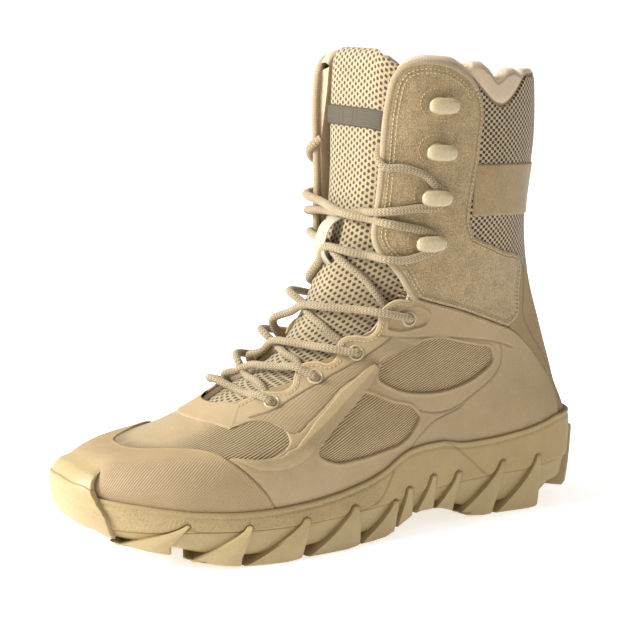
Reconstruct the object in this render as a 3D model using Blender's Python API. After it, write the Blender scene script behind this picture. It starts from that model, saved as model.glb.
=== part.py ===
# Left safety boot, 8-inch lace-up: hollow upper, moulded overlays, tongue, foam midsole and lugged
# rubber outsole.
# Tables and sizes are in millimetres, levels and turns are plain shares; every mesh is made in metres.
# Frame: +Z up, toe towards -Y, outer (lateral) side +X, origin on the floor under the heel.
import bpy
import bmesh
import numpy as np

MM = 0.001

# ---- driving dimensions (mm)
WALL = 2.6              # upper: leather, foam and lining together
GAP = 0.35              # between pieces that meet
OVERLAY = 1.4           # thickness of the sewn and moulded overlays
BAND_OVERLAY = 2.3      # the bevelled side band stands higher
LIP = 3.0               # foam lip outside the upper
LACE_RADIUS = 2.3
TONGUE_THICKNESS = 4.5
INSOLE_GAP = 1.8        # around the insole
COLUMNS = 24            # facets around the boot
OUTER = GAP + OVERLAY   # top of an overlay above the upper
OVERLAY_START = 0.012   # levels between the sole's lip and the foot of an overlay

# Front and back profile of the upper, and how far the middle of each loop sags, row by row from the
# feather edge (level 0) to the plane of the collar (level 1).
PROFILE = np.array([
    # level, front y, front z, back y, back z, sag
    (0.00, -257, 30, 27, 24, 14),
    (0.08, -263, 37, 32, 36, 9),
    (0.16, -262, 46, 32.5, 48, 4),
    (0.24, -250, 54.4, 30, 58, 1),
    (0.32, -228, 57.6, 26.5, 68, 0),
    (0.40, -200, 67.2, 24.5, 79, 0),
    (0.48, -173, 81.8, 21.5, 91, 0),
    (0.56, -147, 101, 18, 105, 0),
    (0.64, -131, 128, 13, 122, 0),
    (0.72, -120, 159, 8, 144, 0),
    (0.80, -115, 190, 6, 170, 0),
    (0.90, -114.5, 224, 9, 206, 0),
    (1.00, -113, 256, 7, 247, 0),
])

# Half widths at four stations along the foot, lateral then medial, and the toe's swing to the inside.
STATIONS = (0.08, 0.38, 0.70, 0.95)      # heel, waist, ball, toe
WIDTHS = np.array([
    # level, lateral heel, waist, ball, toe, medial heel, waist, ball, toe, toe shift
    (0.00, 42, 31, 48, 44, 42, 29, 44, 44, -5),
    (0.08, 47, 37, 53, 50, 47, 35, 48, 50, -5),
    (0.16, 49, 39, 54, 51, 49, 38, 49, 51, -5),
    (0.24, 48, 39, 52, 47, 48, 38, 46, 45, -5),
    (0.32, 46, 38, 48, 42, 46, 37, 43, 40, -4),
    (0.40, 43, 37, 44, 38, 43, 36, 41, 37, -3),
    (0.48, 41, 36, 41, 35, 41, 35, 38, 34, -2),
    (0.56, 39, 36, 39, 34, 39, 35, 37, 34, -1),
    (0.64, 38, 37, 39, 36, 38, 36, 38, 36, 0),
    (0.72, 39, 40, 41, 40, 39, 39, 41, 40, 0),
    (0.80, 42, 44, 44, 44, 42, 43, 44, 44, 0),
    (0.90, 46, 46, 47, 47, 46, 46, 47, 47, 0),
    (1.00, 48, 48, 49, 49, 48, 48, 49, 49, 0),
])

# How square a loop is at its back and its front: 1 is an ellipse, less is fuller.
ROUNDNESS = np.array([
    # level, back, front
    (0.00, 0.62, 0.62),
    (0.16, 0.62, 0.62),
    (0.32, 0.68, 0.74),
    (0.48, 0.78, 0.85),
    (0.64, 0.88, 0.80),
    (0.76, 0.88, 0.60),
    (1.00, 0.85, 0.50),
])

# Throat: the turn of its edge on both sides. Turn is 0 at the back seam and 1 at the front centre.
THROAT_START = 0.43
THROAT = np.array([
    # level, turn of the edge
    (0.430, 1.000),
    (0.445, 0.900),
    (0.470, 0.855),
    (0.500, 0.815),
    (0.530, 0.790),
    (0.560, 0.755),
    (0.590, 0.715),
    (0.620, 0.680),
    (0.642, 0.600),
    (0.665, 0.630),
    (0.700, 0.720),
    (0.740, 0.775),
    (0.790, 0.785),
    (0.850, 0.787),
    (0.950, 0.777),
    (1.000, 0.760),
])

# Top line of the collar: front humps, V notches at the ankle and a dipped back.
COLLAR_START = 0.80
TOPLINE = np.array([
    # turn, level
    (0.000, 0.985),
    (0.100, 0.974),
    (0.190, 0.990),
    (0.285, 0.988),
    (0.362, 0.953),
    (0.393, 0.943),
    (0.430, 0.945),
    (0.467, 0.960),
    (0.513, 0.980),
    (0.575, 0.997),
    (0.668, 0.997),
    (0.715, 0.990),
    (0.752, 0.976),
    (0.777, 0.950),
])

# Sole: heights around its outline.
SOLE = np.array([
    # turn, rim, split between foam and rubber, ground line, lug depth
    (0.00, 51.0, 25.0, 7.5, 5.0),
    (0.10, 51.5, 25.0, 7.5, 5.0),
    (0.16, 50.8, 24.5, 7.2, 5.0),
    (0.20, 48.0, 24.0, 0.0, 6.0),
    (0.24, 45.4, 22.5, 0.0, 6.0),
    (0.30, 43.2, 22.5, 0.0, 6.0),
    (0.345, 43.0, 21.8, 1.5, 5.0),
    (0.365, 43.8, 21.4, 5.0, 4.0),
    (0.385, 46.2, 21.0, 9.0, 3.0),
    (0.42, 46.2, 20.5, 10.4, 1.6),
    (0.445, 44.6, 19.5, 8.0, 2.5),
    (0.46, 41.0, 18.6, 4.0, 3.5),
    (0.475, 36.5, 18.2, 1.5, 4.5),
    (0.50, 32.6, 17.8, 0.3, 5.0),
    (0.54, 29.2, 17.2, 0.0, 5.0),
    (0.58, 27.5, 16.8, 0.0, 5.0),
    (0.64, 26.6, 17.4, 0.0, 5.0),
    (0.68, 27.0, 18.0, 0.3, 5.0),
    (0.74, 29.0, 19.5, 4.0, 4.5),
    (0.78, 31.3, 19.8, 8.0, 4.0),
    (0.82, 33.5, 20.0, 10.5, 3.5),
    (0.87, 35.4, 20.5, 13.3, 2.5),
    (0.90, 36.5, 21.0, 14.6, 2.2),
    (0.93, 37.2, 22.0, 17.0, 2.0),
    (1.00, 38.0, 23.0, 18.0, 2.0),
])
SOLE_FRONT_Y = -260
SOLE_BACK_Y = 31
SOLE_LATERAL = (49, 41, 58, 54)
SOLE_MEDIAL = (49, 38, 51, 53)
SOLE_SQUARENESS = 0.62
SOLE_BULGE = 1.5

# Claws: the side lugs that sweep back up the wall, by the turns of their foot and of their tip.
CLAWS = (
    # front turn, rear turn, tip turn, tip z, how far it stands out
    (0.900, 0.785, 0.752, 23.5, 2.0),
    (0.764, 0.684, 0.668, 20.5, 2.8),
    (0.680, 0.602, 0.592, 20.0, 2.8),
    (0.592, 0.518, 0.524, 21.5, 2.8),
    (0.514, 0.466, 0.465, 19.5, 2.2),
    (0.457, 0.437, 0.444, 25.0, 1.6),
    (0.427, 0.403, 0.406, 29.0, 1.6),
    (0.398, 0.370, 0.364, 28.0, 1.6),
    (0.366, 0.300, 0.286, 30.0, 2.6),
    (0.292, 0.202, 0.212, 30.0, 2.6),
    (0.100, 0.022, 0.064, 41.0, 3.0),
)
CLAW_REACH = 15         # how far a lug runs in under the plate
CLAW_ROOT = -1.6        # how deep a lug's shank sits in the wall
FOOT_RISE = 0.5         # how far a lug's front edge lifts off the ground, as a share of the lug's depth
BLADE_FOOT = 1.1        # the blades stand clear of the foam
BLADE_TIP = 0.004       # half width of a blade's tip, in turns
PLATE = 3.5             # rubber over the lugs
RUBBER_WALL = 3.0       # rubber around the foam
FOAM_TUCK = 1.8         # each step by which the foam goes in behind the rubber wall
OUTSOLE_OUTS = (-2.4, -1.4, -1.0, -1.6)     # the rubber wall's own section, from the plate to its edge
MIDSOLE_OUTS = (-0.2, 0.5, 0.6, 0.3, -0.8)  # the foam wall's section, from the split to the rim
TOE_GUARD_TURN = 0.885
TOE_GUARD_ROWS = (
    # share of its height, how far it stands out
    (0.0, 2.2),
    (0.12, 3.2),
    (0.45, 3.6),
    (0.72, 3.4),
    (0.82, 3.2),
    (0.86, 2.4),
    (1.0, 1.9),
)

# Middle lugs of the tread: y of the front edge, half width, length, sweep.
TREAD = (
    (-236, 17, 9, 7),
    (-214, 22, 11, 8),
    (-186, 20, 22, 0),
    (-152, 20, 11, 8),
    (-128, 18, 10, 8),
    (-50, 15, 10, 6),
    (-30, 15, 12, 0),
    (-14, 13, 17, 0),
)

# Side-view outlines (y, z) of the overlays, from the corners that their shape needs.
TOE_CAP = (
    (-290, 80), (-239, 80), (-236.5, 60.5), (-222, 59), (-205, 60), (-197, 56.5), (-189, 48.5),
    (-181, 38), (-170, 20), (-290, 10),
)
CAGE = (
    (-174, 84), (-160, 100), (-110, 135), (-84, 133), (-78.5, 125.3), (-57, 118.4), (-38, 112),
    (-17.5, 103.5), (-4, 94), (9, 79), (16, 65), (18, 40), (0, 20), (-60, 20), (-168, 20),
    (-179, 38), (-188, 49), (-193, 55), (-178, 53.5), (-166, 56), (-163, 61), (-168, 68), (-182, 69),
)
WINDOW_FRONT = (
    (-149, 50.5), (-140, 62), (-126, 77), (-112, 80), (-96, 72), (-82, 67), (-80, 57),
    (-92, 48), (-112, 44), (-130, 45.5),
)
WINDOW_REAR = (
    (-106, 88), (-101, 96), (-73, 104.5), (-41, 99), (-25, 94.5), (-25.5, 84), (-34, 77), (-63, 73.5),
    (-84, 75), (-99, 80),
)
BAND = (
    (-196, 56), (-188, 54), (-175, 52), (-165, 55), (-158, 62), (-135, 83), (-104, 101), (-92, 107.5),
    (-98, 99), (-112, 86), (-128, 70), (-141, 57), (-153, 48), (-168, 42), (-182, 44),
)
SHAFT_PANEL = (
    (-130, 262), (-66, 262), (-55, 243), (-51, 236), (-49.5, 198), (-51, 170), (-47.5, 159), (-25, 150),
    (-7.5, 140), (-8.5, 112), (-17, 105.5), (-37, 114.2), (-57, 120.6), (-79, 127.5), (-92, 146),
    (-130, 156),
)
CUFF_STRAP = ((-47.5, 196.8), (40, 190), (40, 160), (-48.5, 168.6))
# Plan outline (x, y) of the trim at the foot of the throat.
VAMP_TRIM = (
    (-3, -205), (-17, -199), (-29, -191), (-34, -184), (-31, -178), (-20, -185), (-8, -191), (-3, -193),
    (2, -191), (14, -185), (25, -178), (28, -184), (23, -191), (11, -199),
)

# Hooks on the shaft and eyelets on the instep, as places on the upper; both sides alike.
HOOKS = (
    # turn, level
    (0.615, 0.933),
    (0.612, 0.863),
    (0.612, 0.795),
    (0.610, 0.729),
)
EYELETS = (
    (0.607, 0.608),
    (0.700, 0.550),
    (0.748, 0.502),
    (0.785, 0.445),
)
EYELET_HEIGHT = 0.9
HOOK_RINGS = (
    # height over the upper, half length, half width
    (2.1, 5.5, 4.5),
    (3.4, 2.2, 1.9),
    (7.4, 2.2, 1.9),
    (8.1, 7.2, 4.8),
    (10.2, 4.2, 2.8),
)

# Crossings of the lace over the instep, by the eyelets that each joins.
CROSSINGS = (
    # lower eyelet, higher eyelet, height of the middle over the tongue, drop of the ends
    (3, 2, 2.4, 0.0),
    (2, 1, 2.6, 1.2),
    (1, 0, 4.0, 1.2),
)
# Laces by their stops on one side; a turn past 1 is on the other side.
THROAT_LACE = 0.83
KEEPER_RUN = (
    # turn, level, height
    (0.690, 0.645, -3.6),
    (0.800, 0.667, -1.0),
    (0.940, 0.702, 4.2),
    (1.000, 0.716, 3.6),
    (-0.920, 0.722, 4.2),
    (-0.790, 0.720, 6.0),
    (-0.652, 0.718, 4.9),
)
HOOK_RUN = (
    # turn, level, height
    (0.652, 0.734, 4.9),
    (0.790, 0.744, 6.0),
    (0.900, 0.756, 4.5),
    (1.000, 0.768, 4.0),
    (-0.900, 0.780, 4.5),
    (-0.790, 0.784, 6.0),
    (-0.652, 0.785, 4.9),
)
TUCKED_RUN = (
    # turn, level, height
    (0.652, 0.801, 4.9),
    (0.700, 0.812, 5.4),
    (0.768, 0.823, 5.6),
    (0.810, 0.832, 3.0),
    (0.826, 0.840, -1.6),
    (0.822, 0.850, -4.6),
)

# Tongue: how deep its face lies under the upper's outer surface at the centre.
TONGUE_EDGE_DEPTH = 4.2
TONGUE = np.array([
    # level, extra depth at the centre, spread in turns to each side of the front centre
    (0.41, 0.0, 0.26),
    (0.50, 1.0, 0.30),
    (0.57, 2.5, 0.38),
    (0.64, 4.5, 0.49),
    (0.68, 5.5, 0.45),
    (0.74, 7.0, 0.34),
    (0.85, 9.5, 0.32),
    (1.00, 12.5, 0.32),
])

# The label on the tongue and the loop that the laces pass under.
LABEL_LEVELS = (0.879, 0.907)
LABEL_SPREAD = 0.20
LABEL_HEIGHTS = (0.5, 1.3)
KEEPER = np.array([
    # level, height over the tongue
    (0.690, 0.9),
    (0.697, 4.8),
    (0.706, 6.4),
    (0.718, 6.6),
    (0.730, 6.4),
    (0.739, 4.8),
    (0.746, 0.9),
])
KEEPER_HALF_WIDTH = 7.0
KEEPER_THICKNESS = 1.1

# Ring of an eyelet: radius and height of its section's corners, over the overlay it sits on.
EYELET_SECTION = (
    (2.7, 0.0),
    (4.4, 0.0),
    (3.5, EYELET_HEIGHT),
)
CROSS_END = (0.065, 0.045)  # how far past its lower eyelet a crossing ends, in turn and in level

COLOURS = {
    # name: colour, roughness, metallic
    'suede': ((0.52, 0.39, 0.22), 0.9, 0.0),
    'moulded': ((0.55, 0.42, 0.26), 0.6, 0.0),
    'fabric': ((0.44, 0.33, 0.19), 0.85, 0.0),
    'mesh': ((0.58, 0.47, 0.30), 0.9, 0.0),
    'foam': ((0.60, 0.46, 0.25), 0.65, 0.0),
    'rubber': ((0.57, 0.43, 0.22), 0.6, 0.0),
    'cord': ((0.62, 0.50, 0.32), 0.8, 0.0),
    'hardware': ((0.62, 0.50, 0.31), 0.3, 0.0),
    'webbing': ((0.75, 0.68, 0.52), 0.8, 0.0),
    'lining': ((0.58, 0.46, 0.36), 0.9, 0.0),
}


# ---- curves and surfaces

def spline(knots, values, at):
    # Natural cubic spline through the knots.
    knots = np.asarray(knots, float)
    values = np.asarray(values, float)
    count = len(knots)
    step = np.diff(knots)
    system = np.eye(count)
    right = np.zeros(count)
    for i in range(1, count - 1):
        system[i, i - 1:i + 2] = step[i - 1], 2 * (step[i - 1] + step[i]), step[i]
        slope_after = (values[i + 1] - values[i]) / step[i]
        slope_before = (values[i] - values[i - 1]) / step[i - 1]
        right[i] = 6 * (slope_after - slope_before)
    bend = np.linalg.solve(system, right)
    at = np.asarray(at, float)
    i = np.clip(np.searchsorted(knots, at) - 1, 0, count - 2)
    h = step[i]
    a = (knots[i + 1] - at) / h
    b = (at - knots[i]) / h
    cubic = (a ** 3 - a) * bend[i] + (b ** 3 - b) * bend[i + 1]
    return a * values[i] + b * values[i + 1] + cubic * h * h / 6


def along_foot(values, share):
    # Half width at a share of the foot's length: the cubic through the four stations.
    total = 0.0
    for i, station in enumerate(STATIONS):
        weight = 1.0
        for j, other in enumerate(STATIONS):
            if i != j:
                weight = weight * (share - other) / (station - other)
        total = total + weight * values[i]
    return total


def upper(turn, level):
    # Outer surface of the upper. Turn runs from the back seam (0) to the front centre: +1 round the outer
    # side, -1 round the inner side.
    turn, level = np.broadcast_arrays(np.asarray(turn, float), np.asarray(level, float))
    turn = (turn + 1) % 2 - 1
    angle = np.pi * turn
    share = (1 - np.cos(angle)) / 2
    front_y, front_z, back_y, back_z, sag = (
        spline(PROFILE[:, 0], PROFILE[:, k], level) for k in range(1, 6))
    y = back_y + (front_y - back_y) * share
    z = back_z + (front_z - back_z) * share - sag * np.sin(np.pi * share ** 1.4)
    lateral = along_foot([spline(WIDTHS[:, 0], WIDTHS[:, k], level) for k in range(1, 5)], share)
    medial = along_foot([spline(WIDTHS[:, 0], WIDTHS[:, k], level) for k in range(5, 9)], share)
    back_power = spline(ROUNDNESS[:, 0], ROUNDNESS[:, 1], level)
    front_power = spline(ROUNDNESS[:, 0], ROUNDNESS[:, 2], level)
    reach = np.abs(np.sin(angle)) ** (back_power + (front_power - back_power) * share)
    mean = (lateral + medial) / 2
    half = mean + (np.where(turn >= 0, lateral, medial) - mean) * reach
    shift = spline(WIDTHS[:, 0], WIDTHS[:, 9], level) * share ** 3
    x = shift + np.where(turn >= 0, 1.0, -1.0) * half * reach
    return np.stack([x, y, z], -1)


def unit(vectors):
    return vectors / np.linalg.norm(vectors, axis=-1, keepdims=True)


def upper_normal(turn, level):
    step = 1e-3
    around = upper(turn + step, level) - upper(turn - step, level)
    up = upper(turn, np.minimum(level + step, 1)) - upper(turn, np.maximum(level - step, 0))
    return unit(np.cross(up, around))


def over(turn, level, height):
    # The point at a height over the upper's outer surface; a negative height is inside.
    turn, level, height = np.broadcast_arrays(
        np.asarray(turn, float), np.asarray(level, float), np.asarray(height, float))
    return upper(turn, level) + upper_normal(turn, level) * height[..., None]


def level_at(turn, z):
    # Level at which the upper's surface reaches height z, for each turn.
    levels = np.linspace(0, 0.5, 101)
    heights = upper(np.asarray(turn)[:, None], levels)[..., 2]
    return np.array([np.interp(goal, row, levels) for goal, row in zip(z, heights)])


def sole_value(turn, column):
    return np.interp(np.abs(turn), SOLE[:, 0], SOLE[:, column])


def rim_level(turn):
    return level_at(turn, sole_value(turn, 1))


def sole_wall(turn, z, out):
    # Side wall of the sole at height z: ruled from the tread outline up to the lip around the upper, with a
    # slight bulge, and moved out by the given amount.
    turn = np.asarray(turn, float)
    level = rim_level(turn)
    top = upper(turn, level)
    sideways = upper_normal(turn, level) * (1, 1, 0)
    sideways = unit(sideways)
    top = top + sideways * LIP
    angle = np.pi * turn
    share = (1 - np.cos(angle)) / 2
    reach = np.abs(np.sin(angle)) ** SOLE_SQUARENESS
    lateral = along_foot(SOLE_LATERAL, share)
    medial = along_foot(SOLE_MEDIAL, share)
    mean = (lateral + medial) / 2
    half = mean + (np.where(turn >= 0, lateral, medial) - mean) * reach
    toe_shift = WIDTHS[0, 9]
    foot_x = toe_shift * share ** 3 + np.sign(turn) * half * reach
    foot_y = SOLE_BACK_Y + (SOLE_FRONT_Y - SOLE_BACK_Y) * share
    ground = sole_value(turn, 3)
    rise = (z - ground) / (sole_value(turn, 1) - ground)
    x = foot_x + (top[:, 0] - foot_x) * rise
    y = foot_y + (top[:, 1] - foot_y) * rise
    bulge = SOLE_BULGE * 4 * np.clip(rise, 0, 1) * np.clip(1 - rise, 0, 1) + out
    return np.stack([x, y, z + 0 * x], -1) + sideways * bulge[:, None]


# ---- meshes

def make_material(name):
    colour, roughness, metallic = COLOURS[name]
    material = bpy.data.materials.get(name)
    if material is None:
        material = bpy.data.materials.new(name)
        material.use_nodes = True
        shader = material.node_tree.nodes['Principled BSDF']
        shader.inputs['Base Color'].default_value = (*colour, 1)
        shader.inputs['Roughness'].default_value = roughness
        shader.inputs['Metallic'].default_value = metallic
    return material


def make_object(name, points, faces, material, smooth=True):
    mesh = bpy.data.meshes.new(name)
    mesh.from_pydata((np.asarray(points) * MM).tolist(), [], [list(face) for face in faces])
    work = bmesh.new()
    work.from_mesh(mesh)
    bmesh.ops.recalc_face_normals(work, faces=work.faces)
    if work.calc_volume(signed=True) < 0:
        bmesh.ops.reverse_faces(work, faces=work.faces)
    work.to_mesh(mesh)
    work.free()
    mesh.materials.append(make_material(material))
    if smooth:
        mesh.shade_smooth()
        mesh.set_sharp_from_angle(angle=0.6)
    item = bpy.data.objects.new(name, mesh)
    bpy.context.scene.collection.objects.link(item)
    return item


def make_cutter(name, points, faces):
    cutter = make_object(name, points, faces, 'rubber', smooth=False)
    cutter.hide_render = True
    cutter.display_type = 'WIRE'
    return cutter


def combine(item, other, operation):
    modifier = item.modifiers.new(other.name, 'BOOLEAN')
    modifier.operation = operation
    modifier.solver = 'EXACT'
    modifier.use_self = operation == 'INTERSECT'
    modifier.object = other


def prism(outline, low, high, seen_from_above=False):
    # Closed side-view outline (y, z) carried across from x = low to high, or a plan outline (x, y) carried
    # up from z = low to high.
    flat = np.asarray(outline, float)
    count = len(flat)
    points = np.concatenate([np.column_stack([np.full(count, x), flat]) for x in (low, high)])
    if seen_from_above:
        points = np.roll(points, -1, axis=1)
    faces = [tuple(range(count)), tuple(range(count, 2 * count))]
    faces += [(i, (i + 1) % count, (i + 1) % count + count, i + count) for i in range(count)]
    return points, faces


def softened(outline):
    # Each corner of a closed outline cut at a quarter of its two sides.
    flat = np.asarray(outline, float)
    after = np.roll(flat, -1, axis=0)
    return np.stack([flat * 0.75 + after * 0.25, flat * 0.25 + after * 0.75], 1).reshape(-1, 2)


def grown(outline, amount):
    # The outline with each side moved outwards.
    flat = np.asarray(outline, float)
    side = unit(np.roll(flat, -1, axis=0) - flat)
    area = np.sum(flat[:, 0] * np.roll(flat[:, 1], -1) - flat[:, 1] * np.roll(flat[:, 0], -1))
    normal = np.stack([side[:, 1], -side[:, 0]], -1) * np.sign(area)
    before = np.roll(normal, 1, axis=0)
    blunt = 1 + np.sum(normal * before, axis=-1, keepdims=True)
    return flat + (normal + before) / np.maximum(blunt, 0.35) * amount


def ring_loft(rings):
    # Closed body from rings of equal length whose point i mirrors point -i: walls between neighbouring
    # rings, and the first and last ring closed by strips from side to side.
    count = len(rings[0])
    points = np.concatenate(rings)
    faces = []
    for r in range(len(rings) - 1):
        for c in range(count):
            a = r * count + c
            b = r * count + (c + 1) % count
            if c < count // 2:
                faces += [(a, b, b + count), (a, b + count, a + count)]
            else:
                faces += [(a, b, a + count), (b, b + count, a + count)]
    for start in (0, (len(rings) - 1) * count):
        for c in range(count // 2):
            corners = (c, c + 1, (count - c - 1) % count, (count - c) % count)
            unique = list(dict.fromkeys(start + corner for corner in corners))
            faces.append(tuple(unique))
    return points, faces


def split_cell(r, c, columns):
    # The two triangles of a grid's cell, along diagonals that mirror from one half of the grid to the
    # other and are the same in every grid, so that skins lie parallel.
    if c < (columns - 1) // 2:
        return ((r, c), (r, c + 1), (r + 1, c)), ((r, c + 1), (r + 1, c + 1), (r + 1, c))
    return ((r, c), (r, c + 1), (r + 1, c + 1)), ((r, c), (r + 1, c + 1), (r + 1, c))


def slab(outer, inner):
    # Closed body between two grids of points of the same shape.
    rows, columns = outer.shape[:2]
    points = np.concatenate([outer.reshape(-1, 3), inner.reshape(-1, 3)])
    index = np.arange(rows * columns).reshape(rows, columns)
    below = index + rows * columns
    faces = []
    for r in range(rows - 1):
        for c in range(columns - 1):
            for corner in split_cell(r, c, columns):
                faces.append(tuple(index[k] for k in corner))
                faces.append(tuple(below[k] for k in corner))
    border = [(0, c) for c in range(columns)] + [(r, columns - 1) for r in range(1, rows)]
    border += [(rows - 1, c) for c in range(columns - 2, -1, -1)] + [(r, 0) for r in range(rows - 2, 0, -1)]
    for here, after in zip(border, border[1:] + border[:1]):
        faces.append((index[here], index[after], below[after], below[here]))
    return points, faces


def stack(rings):
    # Closed body from rings of equal length, its two ends closed by one face each.
    count = len(rings[0])
    points = np.concatenate(rings)
    faces = [tuple(range(count)), tuple(range((len(rings) - 1) * count, len(rings) * count))]
    for r in range(len(rings) - 1):
        for c in range(count):
            a = r * count + c
            b = r * count + (c + 1) % count
            faces.append((a, b, b + count, a + count))
    return points, faces


def tube(path, radius, sides=6):
    # Round bar along a path of points.
    path = np.asarray(path, float)
    along = unit(np.gradient(path, axis=0))
    across = unit(np.cross(along, np.roll(along[len(along) // 2], 1) + (0.1, 0.2, 0.3)))
    second = np.cross(along, across)
    angles = 2 * np.pi * np.arange(sides) / sides
    rings = [p + radius * (np.outer(np.cos(angles), a) + np.outer(np.sin(angles), b))
             for p, a, b in zip(path, across, second)]
    return stack(rings)


# ---- the upper and what is cut from it

BELOW_RIM = np.array([0, 0.5, 1])
ABOVE_RIM = np.array([0.25, 0.5, 0.75, 1.0])
OPEN_ROWS = np.array([0.445, 0.485, 0.53, 0.575, 0.615, 0.642, 0.67, 0.71, 0.77, 0.85, 0.93, 1.0])


def upper_grid(first_level=None):
    # Turn and level of every grid point. Rows follow the sole's rim low down and the top line high up,
    # and above the throat's start they end at its two edges.
    side = np.linspace(-1, 1, COLUMNS + 1)
    rim = rim_level(side)
    rows = []
    if first_level is None:
        rows += [(side, rim * k) for k in BELOW_RIM]
    else:
        rows.append((side, rim + first_level))
    rows += [(side, rim + (THROAT_START - rim) * k) for k in ABOVE_RIM]
    closed = len(rows)
    for level in OPEN_ROWS:
        turn = side * np.interp(level, THROAT[:, 0], THROAT[:, 1])
        top = np.interp(np.abs(turn), TOPLINE[:, 0], TOPLINE[:, 1])
        share = max(0.0, (level - COLLAR_START) / (1 - COLLAR_START))
        rows.append((turn, level + share * (top - 1)))
    turns = np.array([row[0] for row in rows])
    levels = np.array([row[1] for row in rows])
    return turns, levels, closed


def upper_shell(low, high, first_level=None):
    # Hollow body between two heights over the upper's surface: a tube around the foot whose front seam is
    # closed below the throat and open above it.
    turns, levels, closed = upper_grid(first_level)
    outer = over(turns, levels, high)
    inner = over(turns, levels, low)
    rows, columns = turns.shape
    points = np.concatenate([outer.reshape(-1, 3), inner.reshape(-1, 3)])
    size = rows * columns
    index = np.arange(size).reshape(rows, columns)
    index[:closed, -1] = index[:closed, 0]
    faces = []
    for shift in (0, size):
        for r in range(rows - 1):
            for c in range(columns - 1):
                for corner in split_cell(r, c, columns):
                    faces.append(tuple(index[k] + shift for k in corner))
    for r in (0, rows - 1):
        for c in range(columns - 1):
            a, b = index[r, c], index[r, c + 1]
            faces.append((a, b, b + size, a + size))
    for c in (0, columns - 1):
        for r in range(closed - 1, rows - 1):
            a, b = index[r, c], index[r + 1, c]
            faces.append((a, b, b + size, a + size))
    used = np.unique(np.concatenate([np.ravel(face) for face in faces]))
    renumber = np.full(2 * size, -1)
    renumber[used] = np.arange(len(used))
    return points[used], [tuple(renumber[list(face)]) for face in faces]


def make_upper():
    points, faces = upper_shell(-WALL, 0.0)
    return make_object('upper', points, faces, 'fabric')


def make_overlay(name, material, outline, x0, x1, thickness=OVERLAY, holes=(), rounds=1):
    # A panel that lies on the upper: the shell over it, kept only inside the outline.
    points, faces = upper_shell(GAP, GAP + thickness, OVERLAY_START)
    panel = make_object(name, points, faces, material)
    for _ in range(rounds):
        outline = softened(outline)
    combine(panel, make_cutter(name + '_outline', *prism(outline, x0, x1)), 'INTERSECT')
    for number, hole in enumerate(holes):
        cutter = make_cutter(f'{name}_hole_{number}', *prism(hole, x0 - 3, x1 + 3))
        combine(panel, cutter, 'DIFFERENCE')
    return panel


def make_overlays():
    far = 100
    windows = [softened(WINDOW_FRONT), softened(WINDOW_REAR), grown(BAND, 0.5)]
    make_overlay('toe_cap', 'moulded', TOE_CAP, -far, far)
    trim = make_object('vamp_trim', *upper_shell(GAP, OUTER, OVERLAY_START), 'moulded')
    combine(trim, make_cutter('vamp_trim_outline', *prism(VAMP_TRIM, 60, far, True)), 'INTERSECT')
    trim_edge = make_cutter('vamp_trim_edge', *prism(grown(VAMP_TRIM, 0.5), 60, far, True))
    make_overlay('cuff_strap', 'suede', CUFF_STRAP, -far, far, rounds=0)
    for side, x0, x1 in (('lateral', 0.7, far), ('medial', -far, -0.7)):
        cage = make_overlay('cage_' + side, 'moulded', CAGE, x0, x1, holes=windows)
        combine(cage, trim_edge, 'DIFFERENCE')
        make_overlay('band_' + side, 'moulded', BAND, x0, x1, thickness=BAND_OVERLAY, rounds=0)
        make_overlay('shaft_panel_' + side, 'suede', SHAFT_PANEL, x0, x1)


# ---- sole

def ring_turns():
    # Turns around the boot, once; the first is the toe and the middle one the heel.
    return np.linspace(-1, 1, COLUMNS + 1)[:-1]


def plate_base(turn):
    return sole_value(turn, 3) + sole_value(turn, 4)


def plate_top(turn):
    return np.minimum(plate_base(turn) + PLATE, sole_value(turn, 2) - 1.5)


def make_midsole():
    turn = ring_turns()
    split = sole_value(turn, 2)
    rim = sole_value(turn, 1)
    level = rim_level(turn)
    height = rim - split
    rings = [
        sole_wall(turn, plate_top(turn) + GAP, -RUBBER_WALL - 2 * FOAM_TUCK),
        sole_wall(turn, split + GAP, -RUBBER_WALL - FOAM_TUCK),
    ]
    heights = (split + GAP, split + GAP + 1.0, split + height * 0.5, rim - 1.2, rim)
    rings += [sole_wall(turn, z, out) for z, out in zip(heights, MIDSOLE_OUTS)]
    for share in BELOW_RIM[::-1]:
        rings.append(over(turn, level * share, GAP))
    floor = upper(turn, 0 * turn) - (0, 0, GAP)
    inward = upper_normal(turn, 0 * turn) * (1, 1, 0)
    rings[-1] = floor + unit(inward) * GAP
    points, faces = ring_loft(rings)
    return make_object('midsole', points, faces, 'foam')


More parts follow.
